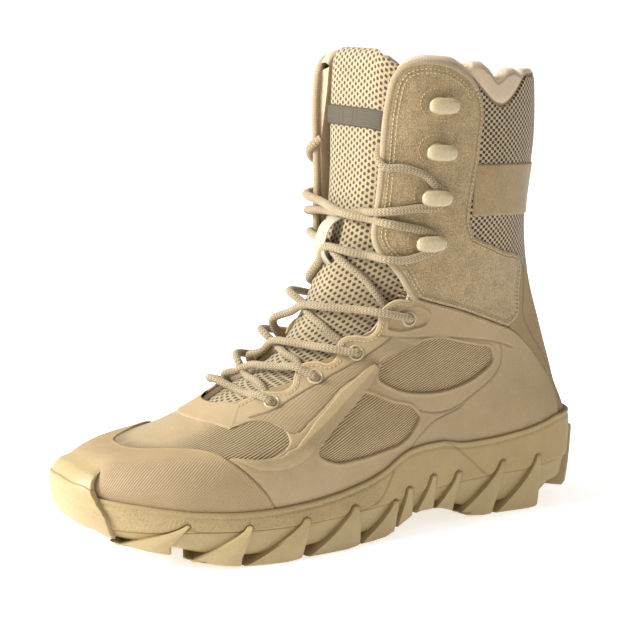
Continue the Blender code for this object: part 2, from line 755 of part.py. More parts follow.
def claw(side, front, rear, tip, tip_z, proud):
    # One side lug: a foot under the plate, a shank in the rubber wall and a blade that sweeps back up the
    # foam, ridged along its middle. Each row gives the height at a turn and how far in the lug reaches.
    rows = (
        (lambda turn: sole_value(turn, 3), -CLAW_REACH),
        (lambda turn: plate_base(turn) + 0.5, -CLAW_REACH),
        (lambda turn: plate_base(turn) + 0.9, CLAW_ROOT),
        (lambda turn: sole_value(turn, 2) - 1.7, BLADE_FOOT),
        (lambda turn: tip_z + 0 * turn, BLADE_FOOT),
    )
    low = sole_value((front + rear) / 2, 3)
    rings = []
    for height, inner in rows:
        here = height((front + rear) / 2)
        share = np.clip((here - low) / (tip_z - low), 0, 1)
        ahead = tip + BLADE_TIP + (front - tip) * (1 - share) ** 1.7
        behind = tip - BLADE_TIP + (rear - tip + BLADE_TIP) * (1 - share)
        ridge = ahead * 0.4 + behind * 0.6
        turns = side * np.array([ahead, ridge, behind, behind, ahead])
        outs = np.array([1.4 + 0.3 * proud, 0.8 + proud, 1.2 + 0.6 * proud])
        outs = np.append(outs - 0.35 * share * (outs - 1.8), [inner, inner])
        heights = height(turns)
        if not rings:
            heights = heights + sole_value(ahead, 4) * FOOT_RISE * np.array([1, 0, 0, 0, 1])
        rings.append(np.concatenate([
            sole_wall(turns[k:k + 1], heights[k:k + 1], outs[k:k + 1]) for k in range(5)]))
    return stack(rings)


def tread_block(front_y, half, length, sweep):
    # A middle lug: a bar or a chevron whose lower face follows the ground line.
    flat = np.array([
        (-half, front_y + sweep), (0, front_y), (half, front_y + sweep),
        (half, front_y + sweep + length), (0, front_y + length), (-half, front_y + sweep + length)])
    share = (SOLE_BACK_Y - flat[:, 1]) / (SOLE_BACK_Y - SOLE_FRONT_Y)
    turn = np.arccos(1 - 2 * np.clip(share, 0, 1)) / np.pi
    low = np.column_stack([flat, sole_value(turn, 3)])
    high = np.column_stack([flat, plate_base(turn) + PLATE * 0.5])
    return stack([low, high])


def merged(bodies):
    points = []
    faces = []
    count = 0
    for body_points, body_faces in bodies:
        points.append(body_points)
        faces += [tuple(i + count for i in face) for face in body_faces]
        count += len(body_points)
    return np.concatenate(points), faces


def make_outsole():
    turn = ring_turns()
    base = plate_base(turn)
    split = sole_value(turn, 2)
    heights = (base, base + 1.7, split - 1.0, split)
    rings = [sole_wall(turn, z, out) for z, out in zip(heights, OUTSOLE_OUTS)]
    rings.append(sole_wall(turn, split, -RUBBER_WALL - 1.2))
    rings.append(sole_wall(turn, plate_top(turn), -2 * RUBBER_WALL))
    outsole = make_object('outsole', *ring_loft(rings[::-1]), 'rubber', smooth=False)
    claws = [claw(side, *row) for side in (1, -1) for row in CLAWS]
    combine(outsole, make_cutter('claws', *merged(claws)), 'UNION')
    blocks = [tread_block(*row) for row in TREAD]
    combine(outsole, make_cutter('tread_blocks', *merged(blocks)), 'UNION')
    return outsole


def make_toe_guard():
    # Rubber toe guard: wraps the front of the foam wall and the foot of the toe cap, with a step under its
    # top edge. Its upper part follows the upper.
    near = np.linspace(TOE_GUARD_TURN, 1, 4)
    turn = np.concatenate([near, -near[-2::-1]])
    low = sole_value(turn, 3) + 2.5
    rim = sole_value(turn, 1)
    top = np.interp(np.abs(turn), (TOE_GUARD_TURN, 0.93, 1.0), (44.0, 49.5, 51.0))
    outer = []
    inner = []
    for share, out in TOE_GUARD_ROWS:
        z = low + (top - low) * share
        above = upper(turn, level_at(turn, z))
        sideways = unit(upper_normal(turn, level_at(turn, z)) * (1, 1, 0)) * (z > rim)[:, None]
        for rows, height in ((outer, out), (inner, 1.1)):
            wall = sole_wall(turn, np.minimum(z, rim), height)
            rows.append(np.where((z > rim)[:, None], above + sideways * (LIP + height), wall))
    return make_object('toe_guard', *slab(np.array(outer), np.array(inner)), 'rubber')


def make_insole():
    turn = ring_turns()
    foot = over(turn, 0 * turn, -WALL - INSOLE_GAP)
    foot[:, 2] = upper(turn, 0 * turn)[:, 2]
    rings = [foot, over(turn, 0.03 + 0 * turn, -WALL - INSOLE_GAP)]
    return make_object('insole', *ring_loft(rings), 'lining')


# ---- tongue and what is sewn to it

def tongue_spread(level):
    return np.interp(level, TONGUE[:, 0], TONGUE[:, 2])


def tongue_depth(turn, level):
    dome = np.interp(level, TONGUE[:, 0], TONGUE[:, 1])
    aside = (1 - np.abs(turn)) / tongue_spread(level)
    return TONGUE_EDGE_DEPTH + dome * np.clip(1 - aside ** 2, 0, 1)


def over_tongue(turn, level, height):
    return over(turn, level, height - tongue_depth(turn, level))


def front_turns(spread, count):
    # Turns across the front, from the outer side to the inner side, for one or many spreads.
    across = np.linspace(1, -1, count)
    return np.where(across >= 0, 1, -1) - np.multiply.outer(spread, across)


def make_tongue():
    rows = np.array([0.41, 0.46, 0.51, 0.56, 0.60, 0.64, 0.68, 0.73, 0.82, 0.91, 0.96, 1.0])
    turns = front_turns(tongue_spread(rows), 7)
    aside = (1 - np.abs(turns)) / tongue_spread(rows)[:, None]
    near_top = np.clip((rows - 0.9) / 0.1, 0, 1)[:, None]
    levels = rows[:, None] - 0.035 * aside ** 2 * near_top
    thin = np.where(levels < 0.48, 0.7, 1.0)
    outer = over_tongue(turns, levels, 0.0)
    inner = over_tongue(turns, levels, -TONGUE_THICKNESS * thin)
    lift = (0, 0, 3.0) * near_top[..., None]
    return make_object('tongue', *slab(outer + lift, inner + lift), 'mesh')


def make_tongue_label():
    turns, levels = np.meshgrid(front_turns(LABEL_SPREAD, 7), np.array(LABEL_LEVELS))
    inner, outer = (over_tongue(turns, levels, height) for height in LABEL_HEIGHTS)
    return make_object('tongue_label', *slab(outer, inner), 'webbing')


def make_lace_keeper():
    # Webbing loop on the tongue that the laces pass under: a flat strap that rises off it and returns.
    centre = over_tongue(np.ones(len(KEEPER)), KEEPER[:, 0], KEEPER[:, 1])
    along = unit(np.gradient(centre, axis=0))
    outward = unit(np.cross(along, (1.0, 0, 0)))
    outward *= np.sign(np.sum(outward * (0, -1, 0), axis=-1, keepdims=True))
    aside = np.array((KEEPER_HALF_WIDTH, 0, 0))
    outward *= KEEPER_THICKNESS
    rings = [np.array([p - aside, p + aside, p + aside + o, p - aside + o]) for p, o in zip(centre, outward)]
    return make_object('lace_keeper', *stack(rings), 'webbing')


# ---- hooks, eyelets and laces

def place_on(turn, level):
    # Origin and axes on the upper: along its loop, up its side and outwards.
    here = upper(turn, level)
    out = upper_normal(turn, level)
    along = unit(upper(turn + 1e-3, level) - upper(turn - 1e-3, level))
    return here, along, np.cross(out, along), out


def make_hook(name, turn, level):
    here, along, up, out = place_on(turn, level)
    angles = 2 * np.pi * (np.arange(8) + 0.5) / 8
    rings = []
    for height, half_length, half_width in HOOK_RINGS:
        rings.append(here + out * height + half_length * np.outer(np.cos(angles), along)
                     + half_width * np.outer(np.sin(angles), up))
    return make_object(name, *stack(rings), 'hardware')


def make_eyelet(name, turn, level):
    # Round ring, wider than the lace, on top of the moulded overlay.
    here, along, up, out = place_on(turn, level)
    sides = 8
    angles = 2 * np.pi * np.arange(sides) / sides
    circle = np.outer(np.cos(angles), along) + np.outer(np.sin(angles), up)
    here = here + out * (OUTER + GAP)
    points = np.concatenate([here + out * height + circle * radius for radius, height in EYELET_SECTION])
    faces = []
    for r in range(3):
        for c in range(sides):
            a, b = r * sides + c, r * sides + (c + 1) % sides
            d, e = (r + 1) % 3 * sides + c, (r + 1) % 3 * sides + (c + 1) % sides
            faces.append((a, b, e, d))
    return make_object(name, points, faces, 'hardware')


def lace_run(start, end, middle, square=3.4, points=7):
    # A lace from one place to another across the throat: the straight line between its ends, arched
    # outwards until its middle stands the given height over the tongue. Each end is (turn, level, height).
    a = over(*start)
    b = over(*end)
    levels = np.linspace(0.42, 0.98, 113)
    front = over_tongue(np.ones(113), levels, middle)
    slope = unit(np.gradient(front, axis=0))
    halfway = (a + b) / 2
    nearest = np.argmin(np.abs(np.sum((halfway - front) * slope * (0, 1, 1), axis=-1)))
    outward = upper_normal(np.array(1.0), levels[nearest])
    rise = np.dot(front[nearest] - halfway, outward)
    share = (1 - np.cos(np.linspace(0, np.pi, points)[:, None])) / 2
    return a * (1 - share) + b * share + outward * rise * (1 - np.abs(2 * share - 1) ** square)


def lace_stops(stops, points=10):
    # A lace through places (turn, level, height), smooth between them. Across the throat the height is
    # over the tongue, elsewhere over the upper.
    places = np.array([over_tongue(*stop) if abs(stop[0]) > THROAT_LACE else over(*stop) for stop in stops])
    along = np.append(0, np.cumsum(np.linalg.norm(np.diff(places, axis=0), axis=1)))
    at = np.linspace(0, along[-1], points)
    return np.stack([spline(along, places[:, k], at) for k in range(3)], -1)


def on_side(stops, side):
    return [(side * turn, level, height) for turn, level, height in stops]


def make_lace(name, runs):
    # Crossing runs joined where they touch.
    first = make_object(name, *tube(runs[0], LACE_RADIUS), 'cord')
    for number, run in enumerate(runs[1:]):
        combine(first, make_cutter(f'{name}_run_{number}', *tube(run, LACE_RADIUS)), 'UNION')
    return first


def make_laces():
    top = OUTER + GAP + EYELET_HEIGHT + LACE_RADIUS + 3.6
    beside = OUTER + LACE_RADIUS + 3.0
    turn, level = EYELETS[3]
    bar = lace_run((turn, level, top + 0.9), (-turn, level, top + 0.9), LACE_RADIUS + 2.3)
    make_lace('lace_bar', [bar])
    for number, (lower, higher, middle, drop) in enumerate(CROSSINGS):
        runs = []
        for side in (1, -1):
            turn, level = EYELETS[higher]
            start = (side * turn, level, top - drop)
            turn, level = EYELETS[lower]
            end = (-side * (turn + CROSS_END[0]), level + CROSS_END[1], beside - drop)
            runs.append(lace_run(start, end, LACE_RADIUS + middle))
        make_lace(f'lace_cross_{number + 1}', runs)
    for name, stops in (('lace_cross_4', KEEPER_RUN), ('lace_cross_5', HOOK_RUN)):
        make_lace(name, [lace_stops(on_side(stops, side)) for side in (1, -1)])
    for name, side in (('lateral', 1), ('medial', -1)):
        make_lace('lace_end_' + name, [lace_stops(on_side(TUCKED_RUN, side), 7)])


def make_fastenings():
    for side, sign in (('lateral', 1), ('medial', -1)):
        for number, (turn, level) in enumerate(HOOKS):
            make_hook(f'hook_{side}_{number + 1}', sign * turn, level)
        for number, (turn, level) in enumerate(EYELETS):
            make_eyelet(f'eyelet_{side}_{number + 5}', sign * turn, level)


def main():
    for item in list(bpy.data.objects):
        bpy.data.objects.remove(item)
    make_outsole()
    make_midsole()
    make_toe_guard()
    make_insole()
    make_upper()
    make_overlays()
    make_tongue()
    make_tongue_label()
    make_lace_keeper()
    make_fastenings()
    make_laces()


main()
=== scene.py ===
import bpy
import numpy as np
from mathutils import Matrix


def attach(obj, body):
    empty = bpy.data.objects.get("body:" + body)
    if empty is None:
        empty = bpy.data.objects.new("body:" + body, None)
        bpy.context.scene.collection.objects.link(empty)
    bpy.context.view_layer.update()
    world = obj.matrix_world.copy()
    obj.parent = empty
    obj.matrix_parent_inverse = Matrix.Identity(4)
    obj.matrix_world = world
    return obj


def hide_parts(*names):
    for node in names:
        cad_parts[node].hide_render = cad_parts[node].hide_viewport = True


# Left safety boot. Sizes in the tables are millimetres; turns and levels are shares of the way round and up.
# A place on the boot is (turn, level): turn 0 at the back seam, 1 at the front centre by the outer side and
# -1 by the inner side; level 0 at the sole and 1 at the collar.
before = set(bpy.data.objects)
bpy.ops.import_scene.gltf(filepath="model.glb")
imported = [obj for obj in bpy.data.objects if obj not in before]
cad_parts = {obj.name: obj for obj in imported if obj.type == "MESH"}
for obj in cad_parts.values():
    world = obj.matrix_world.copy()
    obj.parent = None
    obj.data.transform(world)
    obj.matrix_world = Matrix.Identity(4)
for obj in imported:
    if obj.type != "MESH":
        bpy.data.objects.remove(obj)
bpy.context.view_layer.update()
mm = 0.001
small = 1e-3      # change of turn or level over which the surface's directions are taken
view = {'azimuth': 60.45, 'elevation': 10.2, 'distance': 1.0, 'lens': 107.8, 'target': (-0.4, -124.8, 118.2),
        'clip': (0.05, 80)}


def linked(name, data):
    item = bpy.data.objects.new(name, data)
    bpy.context.scene.collection.objects.link(item)
    return item


def makeCamera():
    # The camera stands at the target plus distance * (sin a cos e, -cos a cos e, sin e) and looks back along it.
    a, e = np.radians((view['azimuth'], view['elevation']))
    back = np.array((np.sin(a) * np.cos(e), -np.cos(a) * np.cos(e), np.sin(e)))
    data = bpy.data.cameras.new('camera')
    data.lens = view['lens']
    data.clip_start, data.clip_end = view['clip']
    camera = linked('camera', data)
    camera.location = np.array(view['target']) * mm + back * view['distance']
    camera.rotation_euler = (np.pi / 2 - e, 0, a)
    bpy.context.scene.camera = camera


makeCamera()
print('camera set')

# The boot's own sizes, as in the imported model.
wall = 2.6
profile = np.array([
    # level, front y, front z, back y, back z, sag of the loop's middle
    (0.00, -257, 30, 27, 24, 14), (0.08, -263, 37, 32, 36, 9), (0.16, -262, 46, 32.5, 48, 4),
    (0.24, -250, 54.4, 30, 58, 1), (0.32, -228, 57.6, 26.5, 68, 0), (0.40, -200, 67.2, 24.5, 79, 0),
    (0.48, -173, 81.8, 21.5, 91, 0), (0.56, -147, 101, 18, 105, 0), (0.64, -131, 128, 13, 122, 0),
    (0.72, -120, 159, 8, 144, 0), (0.80, -115, 190, 6, 170, 0), (0.90, -114.5, 224, 9, 206, 0),
    (1.00, -113, 256, 7, 247, 0)])
stations = (0.08, 0.38, 0.70, 0.95)      # heel, waist, ball, toe
widths = np.array([
    # level, outer half widths at the stations, inner half widths, toe shift
    (0.00, 42, 31, 48, 44, 42, 29, 44, 44, -5), (0.08, 47, 37, 53, 50, 47, 35, 48, 50, -5),
    (0.16, 49, 39, 54, 51, 49, 38, 49, 51, -5), (0.24, 48, 39, 52, 47, 48, 38, 46, 45, -5),
    (0.32, 46, 38, 48, 42, 46, 37, 43, 40, -4), (0.40, 43, 37, 44, 38, 43, 36, 41, 37, -3),
    (0.48, 41, 36, 41, 35, 41, 35, 38, 34, -2), (0.56, 39, 36, 39, 34, 39, 35, 37, 34, -1),
    (0.64, 38, 37, 39, 36, 38, 36, 38, 36, 0), (0.72, 39, 40, 41, 40, 39, 39, 41, 40, 0),
    (0.80, 42, 44, 44, 44, 42, 43, 44, 44, 0), (0.90, 46, 46, 47, 47, 46, 46, 47, 47, 0),
    (1.00, 48, 48, 49, 49, 48, 48, 49, 49, 0)])
roundness = np.array([
    # level, power of the sideways reach at the back and at the front
    (0.0, 0.62, 0.62), (0.16, 0.62, 0.62), (0.32, 0.68, 0.74), (0.48, 0.78, 0.85), (0.64, 0.88, 0.8), (0.76, 0.88, 0.6),
    (1.0, 0.85, 0.5)])
throat = np.array([
    # level, turn of the base's edge, a little behind the overlays' own edges
    (0.43, 1.0), (0.445, 0.89), (0.47, 0.845), (0.5, 0.785), (0.53, 0.78), (0.556, 0.74), (0.57, 0.735), (0.59, 0.69),
    (0.615, 0.675), (0.635, 0.625), (0.65, 0.62), (0.675, 0.66), (0.7, 0.7), (0.74, 0.755), (0.79, 0.775),
    (0.85, 0.779), (0.95, 0.769), (1.0, 0.752)])
topLine = np.array([
    # turn, level
    (0.0, 0.985), (0.1, 0.974), (0.19, 0.99), (0.285, 0.988), (0.362, 0.953), (0.393, 0.943), (0.43, 0.945),
    (0.467, 0.96), (0.513, 0.98), (0.575, 0.997), (0.668, 0.997), (0.715, 0.99), (0.752, 0.976), (0.777, 0.95),
    (0.8, 0.93)])
sole = np.array([
    # turn, rim, split between foam and rubber, ground line, lug depth
    (0.0, 51.0, 25.0, 7.5, 5.0), (0.1, 51.5, 25.0, 7.5, 5.0), (0.16, 50.8, 24.5, 7.2, 5.0),
    (0.2, 48.0, 24.0, 0.0, 6.0), (0.24, 45.4, 22.5, 0.0, 6.0), (0.3, 43.2, 22.5, 0.0, 6.0),
    (0.345, 43.0, 21.8, 1.5, 5.0), (0.365, 43.8, 21.4, 5.0, 4.0), (0.385, 46.2, 21.0, 9.0, 3.0),
    (0.42, 46.2, 20.5, 10.4, 1.6), (0.445, 44.6, 19.5, 8.0, 2.5), (0.46, 41.0, 18.6, 4.0, 3.5),
    (0.475, 36.5, 18.2, 1.5, 4.5), (0.5, 32.6, 17.8, 0.3, 5.0), (0.54, 29.2, 17.2, 0.0, 5.0),
    (0.58, 27.5, 16.8, 0.0, 5.0), (0.64, 26.6, 17.4, 0.0, 5.0), (0.68, 27.0, 18.0, 0.3, 5.0),
    (0.74, 29.0, 19.5, 4.0, 4.5), (0.78, 31.3, 19.8, 8.0, 4.0), (0.82, 33.5, 20.0, 10.5, 3.5),
    (0.87, 35.4, 20.5, 13.3, 2.5), (0.9, 36.5, 21.0, 14.6, 2.2), (0.93, 37.2, 22.0, 17.0, 2.0),
    (1, 38.0, 23.0, 18.0, 2.0)])
solePlan = {'front': -260, 'back': 31, 'outer': (49, 41, 58, 54), 'inner': (49, 38, 51, 53), 'square': 0.62,
            'bulge': 1.5, 'lip': 3.0}
tongueTable = np.array([
    # level, extra depth at the centre, spread in turns to each side of the front centre
    (0.41, 0.0, 0.26), (0.5, 1.0, 0.3), (0.57, 2.5, 0.38), (0.64, 4.5, 0.49), (0.68, 5.5, 0.45), (0.74, 7.0, 0.34),
    (0.85, 9.5, 0.32), (1.0, 12.5, 0.32)])
# (turn, level) of the hooks and eyelets, from the top down
hooks = ((0.615, 0.933), (0.612, 0.863), (0.612, 0.795), (0.610, 0.729))
eyelets = ((0.607, 0.608), (0.700, 0.550), (0.748, 0.502), (0.785, 0.445))


# Curves and the boot's surface.
def cubicThrough(knots, values, at):
    # Natural cubic spline: a*v0 + b*v1 + ((a^3 - a)*m0 + (b^3 - b)*m1) * h^2 / 6 between two knots.
    knots, values, at = (np.asarray(k, float) for k in (knots, values, at))
    count = len(knots)
    gap, rise = np.diff(knots), np.diff(values)
    system, right = np.eye(count), np.zeros(count)
    for i in range(1, count - 1):
        system[i, i - 1:i + 2] = gap[i - 1], 2 * (gap[i - 1] + gap[i]), gap[i]
        right[i] = 6 * (rise[i] / gap[i] - rise[i - 1] / gap[i - 1])
    bend = np.linalg.solve(system, right)
    i = np.clip(np.searchsorted(knots, at) - 1, 0, count - 2)
    h = gap[i]
    a, b = (knots[i + 1] - at) / h, (at - knots[i]) / h
    return a * values[i] + b * values[i + 1] + ((a ** 3 - a) * bend[i] + (b ** 3 - b) * bend[i + 1]) * h * h / 6


def fineRows(table):
    return [cubicThrough(table[:, 0], row, fineLevels) for row in table.T[1:]]


fineLevels = np.linspace(0, 1, 2001)
fineProfile, fineWidths, fineRound = fineRows(profile), fineRows(widths), fineRows(roundness)


def wrapped(turn):
    return (np.asarray(turn, float) + 1) % 2 - 1


def around(turn):
    return np.abs(wrapped(turn))


def unit(vectors):
    return vectors / np.maximum(np.linalg.norm(vectors, axis=-1, keepdims=True), 1e-9)


def runOf(points):
    # Length along a line of points, from 0 at its start.
    return np.append(0, np.cumsum(np.linalg.norm(np.diff(points, axis=0), axis=1)))


def ramp(value, low, high):
    # Smooth step from 0 at low to 1 at high.
    s = np.clip((value - low) / (high - low), 0, 1)
    return s * s * (3 - 2 * s)


def hump(distance, width):
    # Soft ridge across a line: exp(-(d / width)^2).
    return np.exp(-(distance / width) ** 2)


def softened(knots, values, at, count):
    # Straight runs between the knots, rounded off by a bell-shaped moving mean.
    bell = np.hanning(count) / np.hanning(count).sum()
    return np.convolve(np.pad(np.interp(at, knots, values), count // 2, 'reflect'), bell, 'valid')


def alongFoot(values, share):
    # Half width at a share of the length: the cubic through the four stations.
    total = 0.0
    for i, station in enumerate(stations):
        weight = 1.0
        for other in stations[:i] + stations[i + 1:]:
            weight = weight * (share - other) / (station - other)
        total = total + weight * values[i]
    return total


def sideX(turn, share, outer, inner, power):
    # x = +- half width * reach, reach = |sin(pi turn)|^power; the two sides share one width at front and back.
    outer, inner = alongFoot(outer, share), alongFoot(inner, share)
    reach = np.abs(np.sin(np.pi * turn)) ** power
    mean = (outer + inner) / 2
    half = mean + (np.where(turn >= 0, outer, inner) - mean) * reach
    return np.where(turn >= 0, 1, -1) * half * reach


def surface(turn, level):
    # y, z run from the back profile to the front one by share = (1 - cos(pi turn)) / 2, with a sag between;
    # x = toe shift * share^3 and the width of each side.
    turn, level = np.broadcast_arrays(np.asarray(turn, float), np.asarray(level, float))
    turn = wrapped(turn)
    at = [np.interp(level, fineLevels, row) for row in fineProfile + fineWidths + fineRound]
    share = (1 - np.cos(np.pi * turn)) / 2
    y = at[2] + (at[0] - at[2]) * share
    z = at[3] + (at[1] - at[3]) * share - at[4] * np.sin(np.pi * share ** 1.4)
    x = at[13] * share ** 3 + sideX(turn, share, at[5:9], at[9:13], at[14] + (at[15] - at[14]) * share)
    return np.stack([x, y, z], -1)


def besides(turn, level):
    return surface(turn + small, level) - surface(turn - small, level)


def outward(turn, level):
    # Normal: the cross product of the steps up and around.
    beside = besides(turn, level)
    up = surface(turn, np.minimum(level + small, 1)) - surface(turn, np.maximum(level - small, 0))
    return unit(np.cross(up, beside))


def lifted(turn, level, height):
    # The point at a height over the surface.
    turn, level, height = np.broadcast_arrays(*(np.asarray(k, float) for k in (turn, level, height)))
    return surface(turn, level) + outward(turn, level) * height[..., None]


def placeAt(y, z):
    # (turn, level) of a side-view place on the outer side: the level where the loop's z at this y is z.
    frontY, frontZ, backY, backZ, sag = (row[None] for row in fineProfile)
    share = np.clip((y[:, None] - backY) / (frontY - backY), 0, 1)
    height = backZ + (frontZ - backZ) * share - sag * np.sin(np.pi * share ** 1.4)
    height = np.maximum.accumulate(height, axis=1)
    level = np.array([np.interp(goal, row, fineLevels) for goal, row in zip(z, height)])
    front, back = (np.interp(level, fineLevels, fineProfile[k]) for k in (0, 2))
    share = np.clip((y - back) / (front - back), 0, 1)
    return np.stack([np.arccos(1 - 2 * share) / np.pi, level], -1)


def smoothLine(points, closed=False, step=0.6):
    # Cubic through (turn, level) places: the slope at each is the weighted mean of the slopes beside it, and
    # the run is measured on the boot in mm.
    p = np.asarray(points, float)
    if closed:
        p = np.concatenate([p[-2:], p, p[:3]])
    gap = np.maximum(np.linalg.norm(np.diff(surface(*p.T), axis=0), axis=1), 1e-3)
    run = np.append(0, np.cumsum(gap))
    slope = np.diff(p, axis=0) / gap[:, None]
    tangent = np.concatenate([slope[:1], slope, slope[-1:]])
    weight = np.concatenate([gap[:1], gap, gap[-1:]])[:, None]
    tangent = (tangent[:-1] * weight[1:] + tangent[1:] * weight[:-1]) / (weight[:-1] + weight[1:])
    first, last = (run[2], run[-3]) if closed else (0, run[-1])
    at = np.linspace(first, last, max(8, int((last - first) / step)), endpoint=not closed)
    i = np.clip(np.searchsorted(run, at, side='right') - 1, 0, len(gap) - 1)
    h = gap[i][:, None]
    s = ((at - run[i]) / gap[i])[:, None]
    return ((2 * s ** 3 - 3 * s ** 2 + 1) * p[i] + (s ** 3 - 2 * s ** 2 + s) * h * tangent[i]
            + (3 * s ** 2 - 2 * s ** 3) * p[i + 1] + (s ** 3 - s ** 2) * h * tangent[i + 1])


def nearest(points, samples):
    # Index of and distance to the nearest sample, from |p|^2 + |q|^2 - 2 p.q.
    flat = points.reshape(-1, 3)
    index, distance = np.empty(len(flat), int), np.empty(len(flat))
    own = (samples ** 2).sum(-1)
    for start in range(0, len(flat), 8000):
        part = flat[start:start + 8000]
        square = own[None] - 2 * part @ samples.T
        index[start:start + 8000] = best = square.argmin(axis=1)
        left = (part ** 2).sum(-1) + square[np.arange(len(part)), best]
        distance[start:start + 8000] = np.sqrt(np.maximum(left, 0))
    return index.reshape(points.shape[:-1]), distance.reshape(points.shape[:-1])


def distanceTo(base, *lines):
    # Distance in mm from every point to the nearest of some (turn, level) lines.
    return nearest(base, np.concatenate([surface(*line.T) for line in lines]))[1]


def insideOf(turn, level, loop):
    # Even-odd rule: a point is inside if a line to one side of it crosses the loop an odd number of times.
    shape = turn.shape
    turn, level = turn.ravel(), level.ravel()
    (aTurn, aLevel), (bTurn, bLevel) = loop.T, np.roll(loop, -1, axis=0).T
    rise = np.where(aLevel == bLevel, 1e-12, bLevel - aLevel)
    inside = np.zeros(len(turn), bool)
    for start in range(0, len(turn), 8000):
        t, v = turn[start:start + 8000, None], level[start:start + 8000, None]
        cross = aTurn + (v - aLevel) / rise * (bTurn - aTurn)
        inside[start:start + 8000] = (((aLevel > v) != (bLevel > v)) & (t < cross)).sum(axis=1) % 2 == 1
    return inside.reshape(shape)


# Meshes.
def gridFaces(rows, columns, ring=False):
    index = np.arange(rows * columns).reshape(rows, columns)
    if ring:
        index = np.concatenate([index, index[:, :1]], axis=1)
    return np.stack([index[:-1, :-1], index[:-1, 1:], index[1:, 1:], index[1:, :-1]], -1).reshape(-1, 4)


def facing(points, faces, look):
    # The faces, turned round where on the whole they look against the given directions.
    a, b, c = (points[faces[:, k]] for k in range(3))
    return faces[:, ::-1] if (np.cross(b - a, c - a) * look[faces[:, 0]]).sum() < 0 else faces


def makePiece(name, points, faces, cover, look, uv, marks=None, sharp=None, slot=None, replaced=()):
    # Mesh object from points in mm. Marks are attributes that its finish reads, such as the distance in mm to
    # the piece's border, which is 9 where no border shows.
    points = np.asarray(points, float).reshape(-1, 3)
    if look is not None:
        faces = facing(points, faces, np.asarray(look, float).reshape(-1, 3))
    mesh = bpy.data.meshes.new(name)
    mesh.from_pydata((points * mm).tolist(), [], faces.tolist())
    corners = np.empty(len(mesh.loops), np.int32)
    mesh.loops.foreach_get('vertex_index', corners)
    layer = mesh.uv_layers.new(name='size')
    layer.data.foreach_set('uv', np.asarray(uv, np.float32).reshape(-1, 2)[corners].ravel())
    for key, values in {'edge': np.full(len(points), 9.0), **(marks or {})}.items():
        made = mesh.attributes.new(key, 'FLOAT', 'POINT')
        made.data.foreach_set('value', np.asarray(values, np.float32).ravel())
    mesh.materials.append(finishes[cover])
    mesh.shade_smooth()
    if sharp:
        mesh.set_sharp_from_angle(angle=np.radians(sharp))
    item = linked(name, mesh)
    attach(item, 'root')
    if replaced:
        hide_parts(*replaced)
    return item


def evenly(values, grid, pitch):
    along = np.append(0, np.cumsum(np.linalg.norm(np.diff(grid, axis=1), axis=-1).max(axis=0)))
    return np.interp(np.linspace(0, along[-1], int(along[-1] / pitch) + 2), along, values)


def meshLines(turns, levels, pitch):
    # Grid lines about a pitch in mm apart between two turns and two levels.
    t, v = np.linspace(*turns, 3001), np.linspace(*levels, 1201)
    return np.meshgrid(evenly(t, surface(t[None], np.linspace(*levels, 9)[:, None]), pitch),
                       evenly(v, surface(np.linspace(*turns, 9)[:, None], v[None]), pitch))


def panel(name, outline, cover, height, pitch=0.8, holes=(), uv=None, marks=None, relief=None, sink=-0.25,
          edge=0.8, **settings):
    # A sheet on the boot inside a closed line of (turn, level): a grid whose border points are moved onto the
    # line. Height = sink at the line, rising to the full height by sqrt(1 - (1 - d/edge)^2) of the distance d.
    low, high = outline.min(axis=0) - 0.004, outline.max(axis=0) + 0.004
    turn, level = meshLines((low[0], high[0]), (max(low[1], 0), min(high[1], 1)), pitch)
    inside = insideOf(turn, level, outline)
    for hole in holes:
        inside &= ~insideOf(turn, level, hole)
    kept = inside[:-1, :-1] | inside[1:, :-1] | inside[:-1, 1:] | inside[1:, 1:]
    border = np.concatenate([outline, *holes])
    index, distance = nearest(surface(turn, level), surface(*border.T))
    turn, level = np.where(inside, turn, border[index, 0]), np.where(inside, level, border[index, 1])
    distance = np.where(inside, distance, 0)
    base, normal = surface(turn, level), outward(turn, level)
    top = height(turn, level) if callable(height) else height
    foot = sink(base) if callable(sink) else sink
    lift = foot + (top - foot) * np.sqrt(1 - (1 - np.clip(distance / edge, 0, 1)) ** 2)
    if relief is not None:
        lift = lift + relief(turn, level, base, distance) * ramp(distance, 0, 1.2)
    faces = gridFaces(*turn.shape)[kept.ravel()]
    used, renumbered = np.unique(faces, return_inverse=True)
    pick = lambda values: np.broadcast_to(values, turn.shape + values.shape[2:]).reshape(turn.size, -1)[used]
    allMarks = {'edge': distance}
    allMarks.update((key, rule(turn, level, base, distance)) for key, rule in (marks or {}).items())
    allMarks = {key: pick(values) for key, values in allMarks.items()}
    size = base[..., 1:] if uv is None else uv(turn, level, base)
    return makePiece(name, pick(base + normal * lift[..., None]), renumbered.reshape(faces.shape), cover,
                     pick(normal), pick(size), allMarks, **settings)


def tubeAlong(path, radius, sides=12, squash=1.0):
    # Profile along a path: centre + radius * (cos w * side + squash * sin w * up), closed at both ends by a
    # shrinking ring. Returns points, faces, outward directions and (length, turn) in mm and shares.
    along = unit(np.gradient(path, axis=0))
    side = [unit(np.cross(along[0], (0.3, 0.2, 1.0)))]
    for here in along[1:]:
        side.append(unit(side[-1] - here * np.dot(side[-1], here)))
    side = np.array(side)
    w = np.linspace(0, 2 * np.pi, sides + 1)
    ring = (np.cos(w)[None, :, None] * side[:, None]
            + squash * np.sin(w)[None, :, None] * np.cross(side, along)[:, None])
    points = path[:, None] + radius * ring
    start, end = ([[k] * (sides + 1)] for k in (path[0], path[-1]))
    points = np.concatenate([start, points, end])
    start, end = ([[k] * (sides + 1)] for k in (-along[0], along[-1]))
    ring = np.concatenate([start, ring, end])
    length = np.pad(runOf(path), 1, 'edge')
    uv = np.stack(np.broadcast_arrays(length[:, None], np.linspace(0, 1, sides + 1)[None]), -1)
    return points.reshape(-1, 3), gridFaces(len(length), sides + 1), ring.reshape(-1, 3), uv.reshape(-1, 2)


